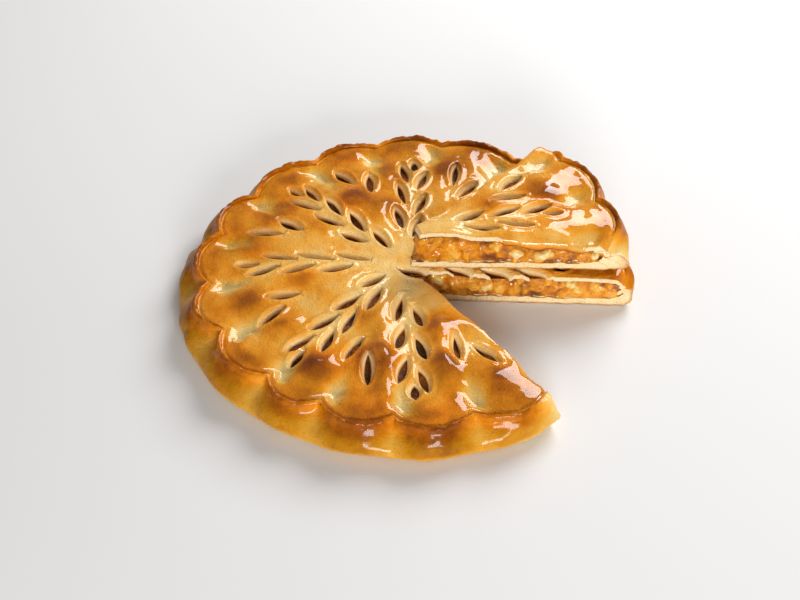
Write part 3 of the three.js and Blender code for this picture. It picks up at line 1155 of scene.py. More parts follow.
@dataclass
class SlitLid:
    """The sheet of dough over the filling, with its leaf slits."""

    form: PieForm
    portion: Portion
    pattern: SlitPattern
    torn: bool
    bake: LidBake = LidBake()
    thumb_share: float = 1.0
    hang: Pair = (0.0, 0.0)
    swells: tuple[Swell, ...] = ()
    pitch: float = 1.75
    edge_steps: int = 16
    rings: tuple[float, ...] = (0.45, 1.0, 1.7, 2.5, 3.4)
    rim_rows: tuple[float, ...] = (0.7, 1.5, 2.4, 3.4, 4.6, 6.0, 7.6)
    row_depths: tuple[float, ...] = (0.0, 0.26, 0.62, 1.0)
    edge_radius: float = 148.4
    cut_length: float = 172.0
    tip_half: float = 9.0
    lip: float = 1.1
    wall_slope: float = 0.46
    tip_slope: float = 1.2
    skin_bulge: float = 1.6
    no_slit: float = 50.0
    puffed_deg: float = 280.0
    top_grain: Layers = ((0.8, 18.0, 31), (0.26, 8.0, 32), (0.12, 3.4, 35))
    cut_grain: Layers = ((0.6, 8.0, 33),)
    thickness_grain: Layers = ((0.9, 9.0, 34),)
    rough_grain: Layers = ((0.22, 2.0, 41), (0.22, 2.0, 42), (0.2, 3.0, 43))
    skin_grain: Layers = ((0.5, 5.0, 44),)
    pale_sides: Sides = ((85.0, 52.0, 0.05), (205.0, 45.0, 0.09), (262.0, 30.0, -0.03), (300.0, 14.0, 0.05))
    folds: tuple[Fold, ...] = (
        Fold(6, -17.0, 38.0, 84.0, 7.5, 2.2),
        Fold(6, -19.0, 90.0, 140.0, 7.5, 2.9),
        Fold(6, 21.0, 66.0, 122.0, 8.0, 2.8),
    )
    domes: tuple[Dome, ...] = (
        Dome(20.0, 75.0, 18.0, 0.2),
        Dome(65.0, 70.0, 17.0, 0.3),
        Dome(75.0, 118.0, 14.0, 1.3),
        Dome(97.0, 104.0, 12.0, 1.3),
        Dome(103.0, 67.0, 14.0, 1.9),
        Dome(118.0, 84.0, 14.0, 2.0),
        Dome(144.0, 112.0, 13.0, 1.3),
        Dome(146.0, 80.0, 12.0, 0.9),
        Dome(166.0, 118.0, 13.0, 0.9),
        Dome(188.0, 74.0, 10.0, 1.0),
        Dome(195.0, 112.0, 12.0, 1.3),
        Dome(211.0, 101.0, 13.0, 1.5),
        Dome(238.0, 57.0, 14.0, 0.8),
        Dome(236.0, 110.0, 13.0, 1.5),
        Dome(256.0, 88.0, 15.0, 2.3),
        Dome(291.0, 62.0, 15.0, 1.5),
        Dome(286.0, 95.0, 12.0, 1.4),
        Dome(300.0, 121.0, 13.0, 1.4),
        Dome(338.0, 74.0, 14.0, 1.2),
        Dome(336.0, 116.0, 14.0, 1.4),
    )

    def __post_init__(self) -> None:
        """Draws the slits once."""
        self.leaves = self.pattern.leaves() + ([self.pattern.tear()] if self.torn else [])

    def from_slits(self, spots: Array) -> Array:
        """Gives the distance of places from the nearest slit, less than 0 inside one."""
        return edge_distance(spots, self.leaves, self.edge_steps)[0]

    def rim_at(self, inset: float, step_deg: float, height: float) -> Array:
        """Places points round the lid's edge.

        Args:
            inset: How far in from the edge they lie.
            step_deg: The angle from one to the next.
            height: Their height before crimping.

        Returns:
            The points, as one row of two numbers each.
        """
        deg = np.arange(0.0, 360.0, step_deg)
        radius = np.full_like(deg, self.edge_radius - inset)
        return self.form.place(radius, deg, np.full_like(deg, height))[:, :2]

    def flat_sheet(self) -> tuple[Array, Array]:
        """Cuts the lid's outline and slits out of a flat sheet, with more points where it bends more.

        Returns:
            The sheet's places, and its triangles.
        """
        spots, edges, count = [], [], 0
        for chain, closed in self.outlines():
            spots.append(chain)
            last = len(chain) if closed else len(chain) - 1
            edges += [(count + i, count + (i + 1) % len(chain)) for i in range(last)]
            count += len(chain)
        spots = np.vstack([*spots, self.inner_points()])
        made = delaunay_2d_cdt([Vector(spot) for spot in spots], edges, [], 0, 1e-4, False)
        places = np.array([tuple(spot) for spot in made[0]])
        corners = np.array([face for face in made[2] if len(face) == 3])
        middle = places[corners].mean(1)
        keep = self.portion.holds(middle) & (self.form.plain_radius(middle) < self.edge_radius)
        return places, corners[keep & (self.from_slits(middle) > 0.0)]

    def outlines(self) -> list[tuple[Array, bool]]:
        """Lists the lines that the sheet is cut along.

        Returns:
            Each line's places, and whether it is closed.
        """
        apex = np.array(self.portion.apex)
        run = np.arange(0.0, self.cut_length, 1.25)
        chains = [(self.rim_at(0.0, 0.36, 23.0), True)]
        chains += [(apex + np.outer(run, way_of(deg)), False) for deg, _ in self.portion.cuts]
        if self.portion.tip_loss:
            way = way_of(self.portion.tip_deg)
            middle = apex + way * self.portion.tip_line(self.portion.lid_level)
            across = np.linspace(-self.tip_half, self.tip_half, 19)
            chains.append((middle + np.outer(across, left_of(way)), False))
        return chains + [(leaf.outline(self.edge_steps), True) for leaf in self.leaves]

    def inner_points(self) -> Array:
        """Spreads points inside the sheet: an even field, rings round the slits, and rows along the rim.

        Returns:
            The points that lie on the sheet.
        """
        reach = 160.0
        inside = self.edge_radius - self.rim_rows[-1]
        lines = []
        for number, y in enumerate(np.arange(-reach, reach, self.pitch * math.sqrt(0.75))):
            x = np.arange(-reach, reach, self.pitch) + (number % 2) * self.pitch / 2.0
            lines.append(np.column_stack([x, np.full_like(x, y)]))
        field = np.vstack(lines)
        field = field[radii_of(field) < reach]
        field = field[self.form.plain_radius(field) < inside - 0.9]
        field = field[self.from_slits(field) > self.rings[-1] + 0.8]
        rounds = np.vstack([leaf.rings(self.edge_steps, self.rings) for leaf in self.leaves])
        own = np.tile(np.repeat(self.rings, 2 * self.edge_steps), len(self.leaves))
        rounds = rounds[self.from_slits(rounds) > 0.8 * own]
        rounds = rounds[self.form.plain_radius(rounds) < inside - 0.5]
        rim = np.vstack([self.rim_at(row, 0.5, 23.5) for row in self.rim_rows])
        rim = rim[self.from_slits(rim) > 0.6]
        loose = np.vstack([field, rounds, rim])
        free = (self.portion.from_cuts(loose) > 0.6) & (self.portion.from_tip(loose) > 0.6)
        return loose[self.portion.holds(loose) & free]

    def ground(self, spots: Array, gap: Array) -> Ground:
        """Gathers what is known of places on the flat lid."""
        return Ground(spots, self.form.plain_radius(spots), angles_of(spots), gap)

    def dome_at(self, spots: Array) -> Array:
        """Adds up how far the domes stand up at each place."""
        gaps = ((dome, spots - dome.radius * way_of(dome.deg)) for dome in self.domes)
        return sum(dome.height * fade(np.linalg.norm(gap, axis=1), dome.spread) for dome, gap in gaps)

    def relief(self, ground: Ground) -> Array:
        """Gives how far the lid stands up from its plain form.

        Args:
            ground: The places.

        Returns:
            The rise at each place.
        """
        spots, radius, deg = ground.spots, ground.radius, ground.deg
        points = on_floor(spots)
        beside_slit = np.maximum(ground.gap, 0.0)
        near_cut = self.portion.from_cuts(spots)
        puff = 0.9 * fade(apart(deg, self.puffed_deg), 42.0) * smooth(radius, 25.0, 60.0)
        rise = layered(points, self.top_grain)
        rise += (1.0 + puff) * (1.5 * self.dome_at(spots) - 1.3 * fade(beside_slit, 6.5))
        rise -= 1.7 * puff * self.stem_at(spots)
        rise += 1.3 * (1.0 - self.form.pinch_at(deg)) * fade(radius - 137.0, 7.0)
        rise -= 0.6 * self.form.thumb_at(deg, radius) ** 2
        rise += 2.2 * smooth(radius, 137.0, 147.0) - 0.9 * fade(radius - 147.2, 1.2)
        rise += self.lip * fade(beside_slit - 2.4, 1.4) - 1.3 * fade(beside_slit, 1.0)
        rise += layered(points, self.cut_grain) * fade(near_cut, 7.0) - 0.9 * fade(near_cut, 1.3)
        rise -= 4.4 * self.portion.sunk_at(spots, 7.0) * smooth(radius, 141.0, 148.0)
        rise -= 1.4 * self.hang_at(spots, 3.5)
        return rise + self.fold_at(spots) + self.swell_at(spots)

    def fold_at(self, spots: Array) -> Array:
        """Gives the rise of the folds beside the sprays.

        Args:
            spots: One row of two numbers a place.

        Returns:
            The rise at each place.
        """
        rise = np.zeros(len(spots))
        for fold in self.folds:
            run, off = run_and_off(spots, self.pattern.centre, self.pattern.sprays[fold.spray].deg)
            start = smooth(run, fold.start - 10.0, fold.start + 6.0)
            end = smooth(run, fold.end + 10.0, fold.end - 6.0)
            rise += fold.height * fade(off - fold.off, fold.spread) * start * end
        return rise

    def swell_at(self, spots: Array) -> Array:
        """Gives the rise of the swells along the cuts.

        Args:
            spots: One row of two numbers a place.

        Returns:
            The rise at each place.
        """
        rise = np.zeros(len(spots))
        for swell in self.swells:
            run, off = run_and_off(spots, self.portion.apex, self.portion.cuts[swell.cut][0])
            rise += swell.height * fade(run - swell.run, swell.length) * fade(off, swell.depth)
        return rise

    def hang_at(self, spots: Array, depth: float) -> Array:
        """Gives where the glazed skin hangs down over the first cut: 1 on the cut itself.

        Args:
            spots: One row of two numbers a place.
            depth: How far in from the cut the skin is drawn along.

        Returns:
            The share at each place.
        """
        first, last = self.hang
        run, off = run_and_off(spots, self.portion.apex, self.portion.start_deg)
        return smooth(run, first, first + 9.0) * smooth(run, last, last - 7.0) * fade(off, depth)

    def stem_at(self, spots: Array) -> Array:
        """Gives the pale stem between the two rows of each spray: 1 on its middle line.

        Args:
            spots: One row of two numbers a place.

        Returns:
            The share at each place.
        """
        best = np.zeros(len(spots))
        for spray in self.pattern.sprays:
            run, off = run_and_off(spots, self.pattern.centre, spray.deg)
            best = np.maximum(best, fade(off, 7.0) * smooth(run, 0.0, 12.0) * smooth(run, 122.0, 90.0))
        return best

    def top_at(self, ground: Ground) -> Array:
        """Gives the height of the lid's upper side."""
        plain = self.form.place(ground.radius, ground.deg, self.form.lid_height(ground.radius))
        return plain[:, 2] + self.relief(ground)

    def thickness(self, ground: Ground) -> Array:
        """Gives how thick the lid is: uneven, and thinner at the slits' lips.

        Args:
            ground: The places.

        Returns:
            The thicknesses.
        """
        thick = self.form.lid_thickness - 0.6 + layered(on_floor(ground.spots), self.thickness_grain)
        thick -= 0.9 * fade(np.maximum(ground.gap, 0.0), 3.0)
        return thick + 2.4 * self.hang_at(ground.spots, 1.5)

    def underside(self, spots: Array) -> Array:
        """Gives the height of the lid's underside, as if it had no slits."""
        ground = self.ground(spots, np.full(len(spots), self.no_slit))
        return self.top_at(ground) - self.thickness(ground)

    def build(self) -> Piece:
        """Makes the lid's mesh in its place.

        Returns:
            The object, with its browning painted on.
        """
        places, corners = self.flat_sheet()
        used = np.unique(corners)
        number = np.full(len(places), -1)
        number[used] = np.arange(len(used))
        mesh = bpy.data.meshes.new(f"{self.portion.name}_slit_lid")
        mesh.from_pydata(on_floor(places[used]).tolist(), [], number[corners].tolist())
        piece = bpy.data.objects.new(mesh.name, mesh)
        bpy.context.scene.collection.objects.link(piece)
        self.thicken(piece)
        self.drape(piece)
        return piece

    def thicken(self, piece: Piece) -> None:
        """Gives the flat sheet its thickness, with two rows of points down its sides.

        Args:
            piece: The flat sheet, which ends as a slab from z = 0 down to z = -1.
        """
        mesh = piece.data
        choose(piece, MeshPart.FACES, np.ones(len(mesh.polygons), bool))
        with Editing(piece):
            bpy.ops.mesh.select_all(action="SELECT")
            bpy.ops.mesh.extrude_region_move(TRANSFORM_OT_translate={"value": (0.0, 0.0, -1.0)})
        ends = np.empty(2 * len(mesh.edges), np.int32)
        mesh.edges.foreach_get("vertices", ends)
        height = points_of(piece)[:, 2]
        choose(piece, MeshPart.EDGES, np.abs(height[ends[0::2]] - height[ends[1::2]]) > 0.5)
        with Editing(piece):
            bpy.ops.mesh.subdivide(number_cuts=len(self.row_depths) - 2)
            bpy.ops.mesh.select_all(action="SELECT")
            bpy.ops.mesh.normals_make_consistent(inside=False)

    def drape(self, piece: Piece) -> None:
        """Lays the flat slab over the filling, and dresses it.

        Args:
            piece: The slab, from z = 0 down to z = -1.
        """
        flat = points_of(piece)
        spots = flat[:, :2]
        depth = np.interp(-flat[:, 2], np.linspace(0.0, 1.0, len(self.row_depths)), self.row_depths)
        gap, nearest = edge_distance(spots, self.leaves, self.edge_steps)
        ground = self.ground(spots, gap)
        on_cut = self.portion.from_cuts(spots) < TOUCHING
        at_tip = self.portion.from_tip(spots) < TOUCHING
        moved = self.slope_slits(ground, nearest, depth, on_cut)
        moved[at_tip] -= np.outer(self.tip_slope * depth[at_tip], way_of(self.portion.tip_deg))
        points = np.column_stack([moved, self.top_at(ground) - depth * self.thickness(ground)])
        ragged = on_cut & (depth > 0.1)
        points[ragged] += np.column_stack([layered(points[ragged], (layer,)) for layer in self.rough_grain])
        hanging = self.hang_at(spots, 0.5)
        bulge = self.skin_bulge * hanging * np.sin(np.pi * np.clip(depth, 0.0, 1.0))
        points[:, :2] += np.outer(bulge, way_of(self.portion.start_deg - 90.0))
        move_points(piece, points)
        self.brown(piece, points, ground, depth)
        skin = faces_where(piece, hanging + layered(points, self.skin_grain) > 0.5)
        crumb = faces_where(piece, on_cut | at_tip) & ~skin
        move_points(piece, self.portion.settle(points))
        dress(piece, [Finish.GLAZED, Finish.CRUMB], crumb, CRUST_BEND_DEG)

    def slope_slits(self, ground: Ground, nearest: Array, depth: Array, on_cut: Array) -> Array:
        """Draws the slits' walls in towards the underside.

        Args:
            ground: The slab's places.
            nearest: The number of the nearest slit.
            depth: 0 on the upper side and 1 on the underside.
            on_cut: True on the two cuts, where a wall moves along the cut alone.

        Returns:
            The moved places.
        """
        spots = ground.spots
        moved = spots.copy()
        on_slit = np.abs(ground.gap) < TOUCHING
        for number in np.unique(nearest[on_slit]):
            mine = on_slit & (nearest == number)
            moved[mine] = self.leaves[number].narrowed(spots[mine], self.wall_slope * depth[mine])
        for deg, _ in self.portion.cuts:
            way = way_of(deg)
            off = run_and_off(spots, self.portion.apex, deg)[1]
            mine = on_slit & on_cut & (np.abs(off) < 1.5 * TOUCHING)
            moved[mine] = spots[mine] + np.outer((moved[mine] - spots[mine]) @ way, way)
        return moved

    def brown(self, piece: Piece, points: Array, ground: Ground, depth: Array) -> None:
        """Paints how far each place of the lid is baked, and where its dough is bare. Deep in the slits the
        walls take painted shade as well as a syrup stain.

        Args:
            piece: The object.
            points: The vertices' places.
            ground: The same places on the flat lid.
            depth: 0 on the upper side and 1 on the underside.
        """
        radius, deg, gap = ground.radius, ground.deg, ground.gap
        spots = points[:, :2]
        flat = on_floor(spots)
        thumb = self.thumb_share * self.form.thumb_at(deg, radius)
        dome = np.clip(self.dome_at(ground.spots) / 1.7, 0.0, 1.0)
        blotch = 0.75 + 0.35 * grain(flat, 27.0, 53)
        pad = (1.0 - self.form.pinch_at(deg)) * fade(radius - 139.0, 7.0) * blotch
        bake = self.bake.plain + self.bake.outer * smooth(radius, 70.0, 124.0)
        bake += self.bake.dome * dome + self.bake.pad * pad + self.bake.slit * fade(gap, 3.4)
        bake += self.bake.stem * self.stem_at(spots) + self.bake.middle * fade(radius, 30.0)
        bake += self.bake.thumb * thumb + self.bake.rim * smooth(radius, 145.5, 148.0)
        bake -= self.form.around(deg, self.pale_sides) * smooth(radius, 60.0, 110.0)
        bake += layered(flat, self.bake.grain)
        lip = 0.4 + 1.1 * np.maximum(grain(flat, 11.0, 54), 0.0)
        bare = np.maximum(0.6 * fade(np.maximum(gap, 0.0) / lip, 1.0), smooth(depth, 0.0, 0.2))
        bare *= 1.0 - smooth(self.hang_at(spots, 3.0), 0.2, 0.6)
        bare *= 1.0 - smooth(radius, self.edge_radius - 1.2, self.edge_radius - 0.2)
        # The lid's sides and underside darken with depth: painted shade deep in the slits, with the syrup
        # stain there.
        deep_shade_and_stain = smooth(depth, 0.3, 0.85)
        olive = (0.2 + 0.25 * grain(flat, 21.0, 55)) * smooth(radius, 20.0, 70.0) + 0.75 * thumb
        paint(piece, "bake", np.clip(np.maximum(bake, self.bake.deep_shade_and_stain * deep_shade_and_stain), 0.0, 1.0))
        paint(piece, "olive", np.clip(olive, 0.0, 1.0))
        paint(piece, "bare", bare * (1.0 - 0.9 * deep_shade_and_stain))
        paint(piece, "toast", smooth(depth, 0.16, 0.0))


@dataclass(frozen=True)
class Chunk:
    """One piece of apple at a cut: where it is along the cut and in height, its size, and its look."""

    run: float
    level: float
    width: float
    height: float
    tilt_deg: float
    proud: float
    tint: float
    squareness: float = 2.6

    def reach(self, run: Array, level: Array) -> Array:
        """Gives how far places are from the piece's middle: 1 at its edge.

        Args:
            run: How far along the cut the places are.
            level: Their heights.

        Returns:
            The distances, as shares of the piece's size.
        """
        away = np.column_stack([run - self.run, level - self.level])
        way = way_of(self.tilt_deg)
        x = np.abs(2.0 * (away @ way) / self.width)
        z = np.abs(2.0 * (away @ left_of(way)) / self.height)
        return (x**self.squareness + z**self.squareness) ** (1.0 / self.squareness)

    def crowding(self, other: Chunk) -> float:
        """Gives how far another piece is: less where the two overlap more."""
        across = (self.run - other.run) / (self.width + other.width)
        return across**2 + ((self.level - other.level) / (self.height + other.height)) ** 2


@dataclass
class AppleFilling:
    """The jelly and the diced apple between the base and the lid."""

    form: PieForm
    portion: Portion
    cover: SlitLid
    seed: int
    columns: int = 72
    rows: int = 10
    step_deg: float = 1.5
    finer_caps: int = 3
    edge_radius: float = 149.0
    under_line: tuple[Pair, ...] = (
        (0.0, 6.9), (60.0, 6.9), (138.0, 6.9), (144.0, 8.4), (147.4, 11.8), (148.8, 16.0), (149.0, 18.5),
    )
    floor_line: tuple[Pair, ...] = (
        (0.0, 7.0), (138.0, 7.0), (144.0, 8.5), (147.4, 11.9), (149.0, 17.0), (152.0, 24.0),
    )
    tries: int = 500
    runs: int = 300
    chunk_width: Pair = (6.5, 15.0)
    chunk_height: Pair = (5.5, 10.5)
    most_tilt_deg: float = 40.0
    proud: Pair = (0.2, 2.0)
    pale_share: float = 0.26
    pale_tint: Pair = (0.74, 0.98)
    amber_tint: Pair = (0.44, 0.7)
    least_room: float = 4.0
    least_crowding: float = 0.185
    gap_sink: float = 1.6
    gap_grain: Layers = ((0.9, 9.0, 61), (0.5, 4.0, 62))
    edge_drop: float = 5.0

    def section(self) -> Array:
        """Draws the filling's section from the pie's middle to its edge.

        Returns:
            Radius and height by column, and by row from the bottom to the top.
        """
        under = along(np.array(self.under_line), self.columns)
        radius = np.linspace(0.0, self.edge_radius, self.columns + 1)
        top = self.form.lid_height(radius) - self.form.lid_thickness + 0.3
        return filled_in(under, np.column_stack([radius, np.maximum(top, under[:, 1])]), self.rows)

    def build(self) -> Piece:
        """Makes the filling's mesh in its place.

        Returns:
            The object, with its tint and its wetness painted on.
        """
        name = f"{self.portion.name}_apple_filling"
        wedge = Wedge(name, self.section(), self.form, self.portion, self.step_deg, self.finer_caps)
        self.fill_room(wedge)
        paint(wedge.piece, "tint", self.cut_open(wedge))
        paint(wedge.piece, "wet", wedge.at_end * smooth(wedge.height, 7.4, 9.6))
        wedge.close_up()
        dress(wedge.piece, [Finish.APPLE], None, FRUIT_BEND_DEG)
        return wedge.piece

    def fill_room(self, wedge: Wedge) -> None:
        """Sinks the filling's top under the lid, and stretches the cut faces from the base to the lid.

        Args:
            wedge: The filling, whose points are moved.
        """
        points, at_end = wedge.points, wedge.at_end
        sunk = self.gap_sink + layered(points, self.gap_grain)
        inside = (wedge.inward > 0.99) & ~at_end
        points[inside, 2] = (self.cover.underside(points[:, :2]) - sunk)[inside]
        edge = smooth(wedge.radius, 145.0, 149.0)
        points[:, 2] -= self.edge_drop * self.portion.sunk_at(points[:, :2], 9.0) * edge
        floor, ceiling = self.room_at(points[at_end, :2])
        points[at_end, 2] = floor + wedge.inward[at_end] * (ceiling - floor)

    def cut_open(self, wedge: Wedge) -> Array:
        """Shapes the two cut faces.

        Args:
            wedge: The filling, whose points are moved.

        Returns:
            The tint of every vertex, from dark jelly at 0 to pale apple at 1.
        """
        points = wedge.points
        # Away from the cut faces the jelly is painted dark: its darker syrup, and painted shade in the slits,
        # where alone it shows.
        tint = np.clip(0.06 + 0.16 * grain(points, 11.0, 66), 0.0, 1.0)
        dice = Dice(self.seed)
        for deg, side in self.portion.cuts:
            face = np.nonzero(wedge.face(side))[0]
            run, _ = run_and_off(points[face, :2], self.portion.apex, deg)
            push, tint[face] = self.cut_face(self.scatter(dice, deg), run, points[face])
            drip = (1.0 + 1.3 * grain(points[face], 5.0, 67)) * smooth(wedge.height[face], 9.0, 7.0)
            points[face, 2] -= drip
            points[face, :2] += np.outer(push, way_of(deg + 90.0 * side))
        return tint

    def scatter(self, dice: Dice, deg: float) -> list[Chunk]:
        """Finds room for pieces of apple along one cut, without much overlap.

        Args:
            dice: The draws.
            deg: The cut's angle.

        Returns:
            The pieces.
        """
        runs = np.linspace(4.0 + self.portion.tip_loss, 146.0, self.runs)
        floor, ceiling = self.room_at(np.array(self.portion.apex) + np.outer(runs, way_of(deg)))
        taken: list[Chunk] = []
        for _ in range(self.tries):
            number = int(dice.between(0.0, self.runs - 0.01))
            room = ceiling[number] - floor[number]
            width = dice.between(*self.chunk_width)
            height = min(dice.between(*self.chunk_height), 0.8 * room)
            level = floor[number] + height / 2.0 + dice.between(0.0, 1.0) * (room - height)
            pale = dice.between(0.0, 1.0) < self.pale_share
            tint = dice.between(*(self.pale_tint if pale else self.amber_tint))
            tilt_deg = dice.between(-self.most_tilt_deg, self.most_tilt_deg)
            chunk = Chunk(runs[number], level, width, height, tilt_deg, dice.between(*self.proud), tint)
            free = all(chunk.crowding(other) > self.least_crowding for other in taken)
            if free and room > self.least_room:
                taken.append(chunk)
        return taken

    def cut_face(self, chunks: list[Chunk], run: Array, points: Array) -> tuple[Array, Array]:
        """Shapes and tints one cut face: pieces of apple, and darker jelly between them.

        Args:
            chunks: The pieces of apple.
            run: How far along the cut the places are.
            points: The places.

        Returns:
            How far each place stands out of the cut, and its tint.
        """
        level = points[:, 2]
        along_cut = run + layered(points, ((1.9, 4.5, 71), (0.7, 1.9, 72)))
        up = level + layered(points, ((1.6, 4.5, 73), (0.6, 1.9, 74)))
        stand = 0.5 * grain(points, 3.0, 75) - 1.0
        tint = 0.35 + 0.24 * grain(points, 9.0, 76)
        nearest = np.full(len(run), FAR_AWAY)
        for chunk in chunks:
            reach = chunk.reach(along_cut, up)
            stand = np.maximum(stand, chunk.proud - (chunk.proud + 1.4) * smooth(reach, 0.45, 1.12))
            closer = reach < nearest
            nearest[closer] = reach[closer]
            inner = closer & (reach < 1.2)
            share = smooth(reach[inner], 1.16, 0.7)
            tint[inner] = tint[inner] * (1.0 - share) + chunk.tint * share
        floor, ceiling = self.room_at(points[:, :2])
        stand = stand + layered(points, ((0.28, 2.2, 77), (0.16, 1.1, 78)))
        stand = stand * smooth(ceiling - level, -0.5, 1.6)
        low = smooth(level - floor, 1.6, 0.0)
        stand = stand * (1.0 - low) + low * np.maximum(stand, 0.25)
        return stand, np.clip(tint + 0.12 * grain(points, 2.6, 79), 0.0, 1.0)

    def room_at(self, spots: Array) -> tuple[Array, Array]:
        """Gives the bottom and the top of the room for the filling.

        Args:
            spots: One row of two numbers a place.

        Returns:
            The two heights at each place.
        """
        radius = self.form.plain_radius(spots) + self.portion.heel_at(spots)
        floor = np.interp(radius, *zip(*self.floor_line))
        under = self.cover.underside(spots)
        floor = np.minimum(floor, under + 1.0 - 2.5 * smooth(radius, 147.0, 150.0))
        return floor, np.maximum(under, floor)


# Finishes


def tone(code: str) -> tuple[float, float, float, float]:
    """Turns a colour written as six hex digits into the linear numbers that the shaders use."""
    parts = [int(code[place:place + 2], 16) / 255.0 for place in (0, 2, 4)]
    return *(part / 12.92 if part <= 0.04045 else ((part + 0.055) / 1.055) ** 2.4 for part in parts), 1.0


class Bench:
    """A node tree and the few moves that build it."""

    def __init__(self, tree: bpy.types.NodeTree) -> None:
        """Keeps the tree."""
        self.tree = tree

    def fill(self, socket: Socket, value: object) -> None:
        """Links a socket into an input, or sets the input to a number or a colour.

        Args:
            socket: The input.
            value: What goes into it.
        """
        if isinstance(value, Socket):
            self.tree.links.new(value, socket)
        else:
            socket.default_value = value

    def put(self, kind: str, inputs: dict | None = None, **settings: object) -> bpy.types.Node:
        """Adds a node.

        Args:
            kind: The node's type.
            inputs: Numbers, colours or sockets for its inputs, by name or number.
            **settings: The node's own settings.

        Returns:
            The node.
        """
        node = self.tree.nodes.new(kind)
        for name, value in settings.items():
            setattr(node, name, value)
        for name, value in (inputs or {}).items():
            self.fill(node.inputs[name], value)
        return node

    def reckon(self, kind: str, first: object, second: object) -> Socket:
        """Adds a math node and gives its result."""
        return self.put("ShaderNodeMath", {0: first, 1: second}, operation=kind).outputs[0]

    def noise(self, place: Socket, scale: float, detail: float) -> Socket:
        """Adds a noise texture and gives its value."""
        inputs = {"Vector": place, "Scale": scale, "Detail": detail, "Roughness": 0.55}
        return self.put("ShaderNodeTexNoise", inputs).outputs["Fac"]

    def cells(self, place: Socket, scale: float) -> Socket:
        """Adds a cell texture and gives the distance from each cell's middle."""
        inputs = {"Vector": place, "Scale": scale, "Randomness": 1.0}
        return self.put("ShaderNodeTexVoronoi", inputs).outputs["Distance"]

    def swing(self, value: Socket, size: float) -> Socket:
        """Turns a noise value into a swing about nothing, of a given size."""
        return self.reckon("MULTIPLY", self.reckon("SUBTRACT", value, 0.5), size)

    def above(self, first: object, second: object) -> Socket:
        """Gives how far the first value is above the second, and nothing where it is below."""
        return self.reckon("MAXIMUM", self.reckon("SUBTRACT", first, second), 0.0)

    def blend(self, share: object, first: object, second: object, kind: str = "MIX") -> Socket:
        """Adds a colour mix.

        Args:
            share: How much of the second colour is mixed in.
            first: The first colour.
            second: The second colour.
            kind: How the two are mixed.

        Returns:
            The mixed colour.
        """
        node = self.put("ShaderNodeMix", data_type="RGBA", blend_type=kind)
        colours = [socket for socket in node.inputs if socket.type == "RGBA"]
        for socket, value in zip([node.inputs["Factor"], *colours], (share, first, second)):
            self.fill(socket, value)
        return next(socket for socket in node.outputs if socket.type == "RGBA")

    def ramp(self, value: Socket, stops: Stops) -> Socket:
        """Adds a colour ramp.

        Args:
            value: Where along the ramp to read.
            stops: Each stop's place and colour.

        Returns:
            The colour.
        """
        node = self.put("ShaderNodeValToRGB", {"Fac": value})
        steps = node.color_ramp.elements
        while len(steps) < len(stops):
            steps.new(0.5)
        for step, (place, code) in zip(steps, stops):
            step.position = place
            step.color = tone(code)
        return node.outputs["Color"]

    def attribute(self, name: str) -> Socket:
        """Reads what paint wrote on the piece."""
        return self.put("ShaderNodeAttribute", attribute_name=name).outputs["Fac"]

    def place(self) -> Socket:
        """Gives the place on the piece, in metres."""
        return self.put("ShaderNodeTexCoord").outputs["Object"]

    def bump(self, height: Socket, strength: float, distance: float) -> Socket:
        """Adds a bump and gives the turned normal."""
        inputs = {"Strength": strength, "Distance": distance, "Height": height}
        return self.put("ShaderNodeBump", inputs).outputs["Normal"]

    def surface(self, inputs: dict) -> None:
        """Adds the material's shader, with its inputs, and its output."""
        shader = self.put("ShaderNodeBsdfPrincipled", inputs)
        self.put("ShaderNodeOutputMaterial", {"Surface": shader.outputs["BSDF"]})


@dataclass(frozen=True)
class Effect:
    """A shader node group that materials share, with its inputs and its one output."""

    name: str
    inputs: tuple[tuple[str, float], ...]
    output: str
    output_kind: str

    def group(self) -> bpy.types.NodeTree:
        """Makes the group on first use.

        Returns:
            The node group.
        """
        if self.name in bpy.data.node_groups:
            return bpy.data.node_groups[self.name]
        tree = bpy.data.node_groups.new(self.name, "ShaderNodeTree")
        for label, value in self.inputs:
            socket = tree.interface.new_socket(name=label, in_out="INPUT", socket_type="NodeSocketFloat")
            socket.default_value = value
        tree.interface.new_socket(name=self.output, in_out="OUTPUT", socket_type=self.output_kind)
        bench = Bench(tree)
        given = bench.put("NodeGroupInput").outputs
        bench.put("NodeGroupOutput", {self.output: self.wire(bench, given)})
        return tree

    def wire(self, bench: Bench, given: bpy.types.bpy_prop_collection) -> Socket:
        """Wires the group up from its inputs and gives what it puts out. Each effect has its own."""
        raise NotImplementedError


@dataclass(frozen=True)
class Browning(Effect):
    """Dough colour from raw to dark, with the mottling of a baked skin."""

    name: str = "browning"
    inputs: tuple[tuple[str, float], ...] = (("Bake", 0.5), ("Olive", 0.0), ("Bare", 0.0), ("Mottle", 1.0))
    output: str = "Color"
    output_kind: str = "NodeSocketColor"
    stops: Stops = (
        (0.0, "fcd890"), (0.2, "fbc468"), (0.4, "f6a22c"),
        (0.58, "de7e0a"), (0.78, "a05004"), (1.0, "5a2604"),
    )
    olive_stops: Stops = (
        (0.0, "e6ca86"), (0.2, "dab464"), (0.4, "d6a03a"),
        (0.58, "b8800e"), (0.78, "885206"), (1.0, "502c04"),
    )
    dough: tuple[str, str] = ("ffebb8", "f8d694")

    def wire(self, bench: Bench, given: bpy.types.bpy_prop_collection) -> Socket:
        """Colours the dough.

        Args:
            bench: The group's bench.
            given: The group's inputs.

        Returns:
            The colour.
        """
        place = bench.place()
        wide = bench.swing(bench.noise(place, 75.0, 3.0), 0.18)
        fine = bench.swing(bench.noise(place, 420.0, 2.0), 0.14)
        mottle = bench.reckon("MULTIPLY", bench.reckon("ADD", wide, fine), given["Mottle"])
        bake = bench.reckon("ADD", given["Bake"], mottle)
        golden, olive = bench.ramp(bake, self.stops), bench.ramp(bake, self.olive_stops)
        dough = bench.blend(bench.noise(place, 300.0, 2.0), *(tone(code) for code in self.dough))
        return bench.blend(given["Bare"], bench.blend(given["Olive"], golden, olive), dough)


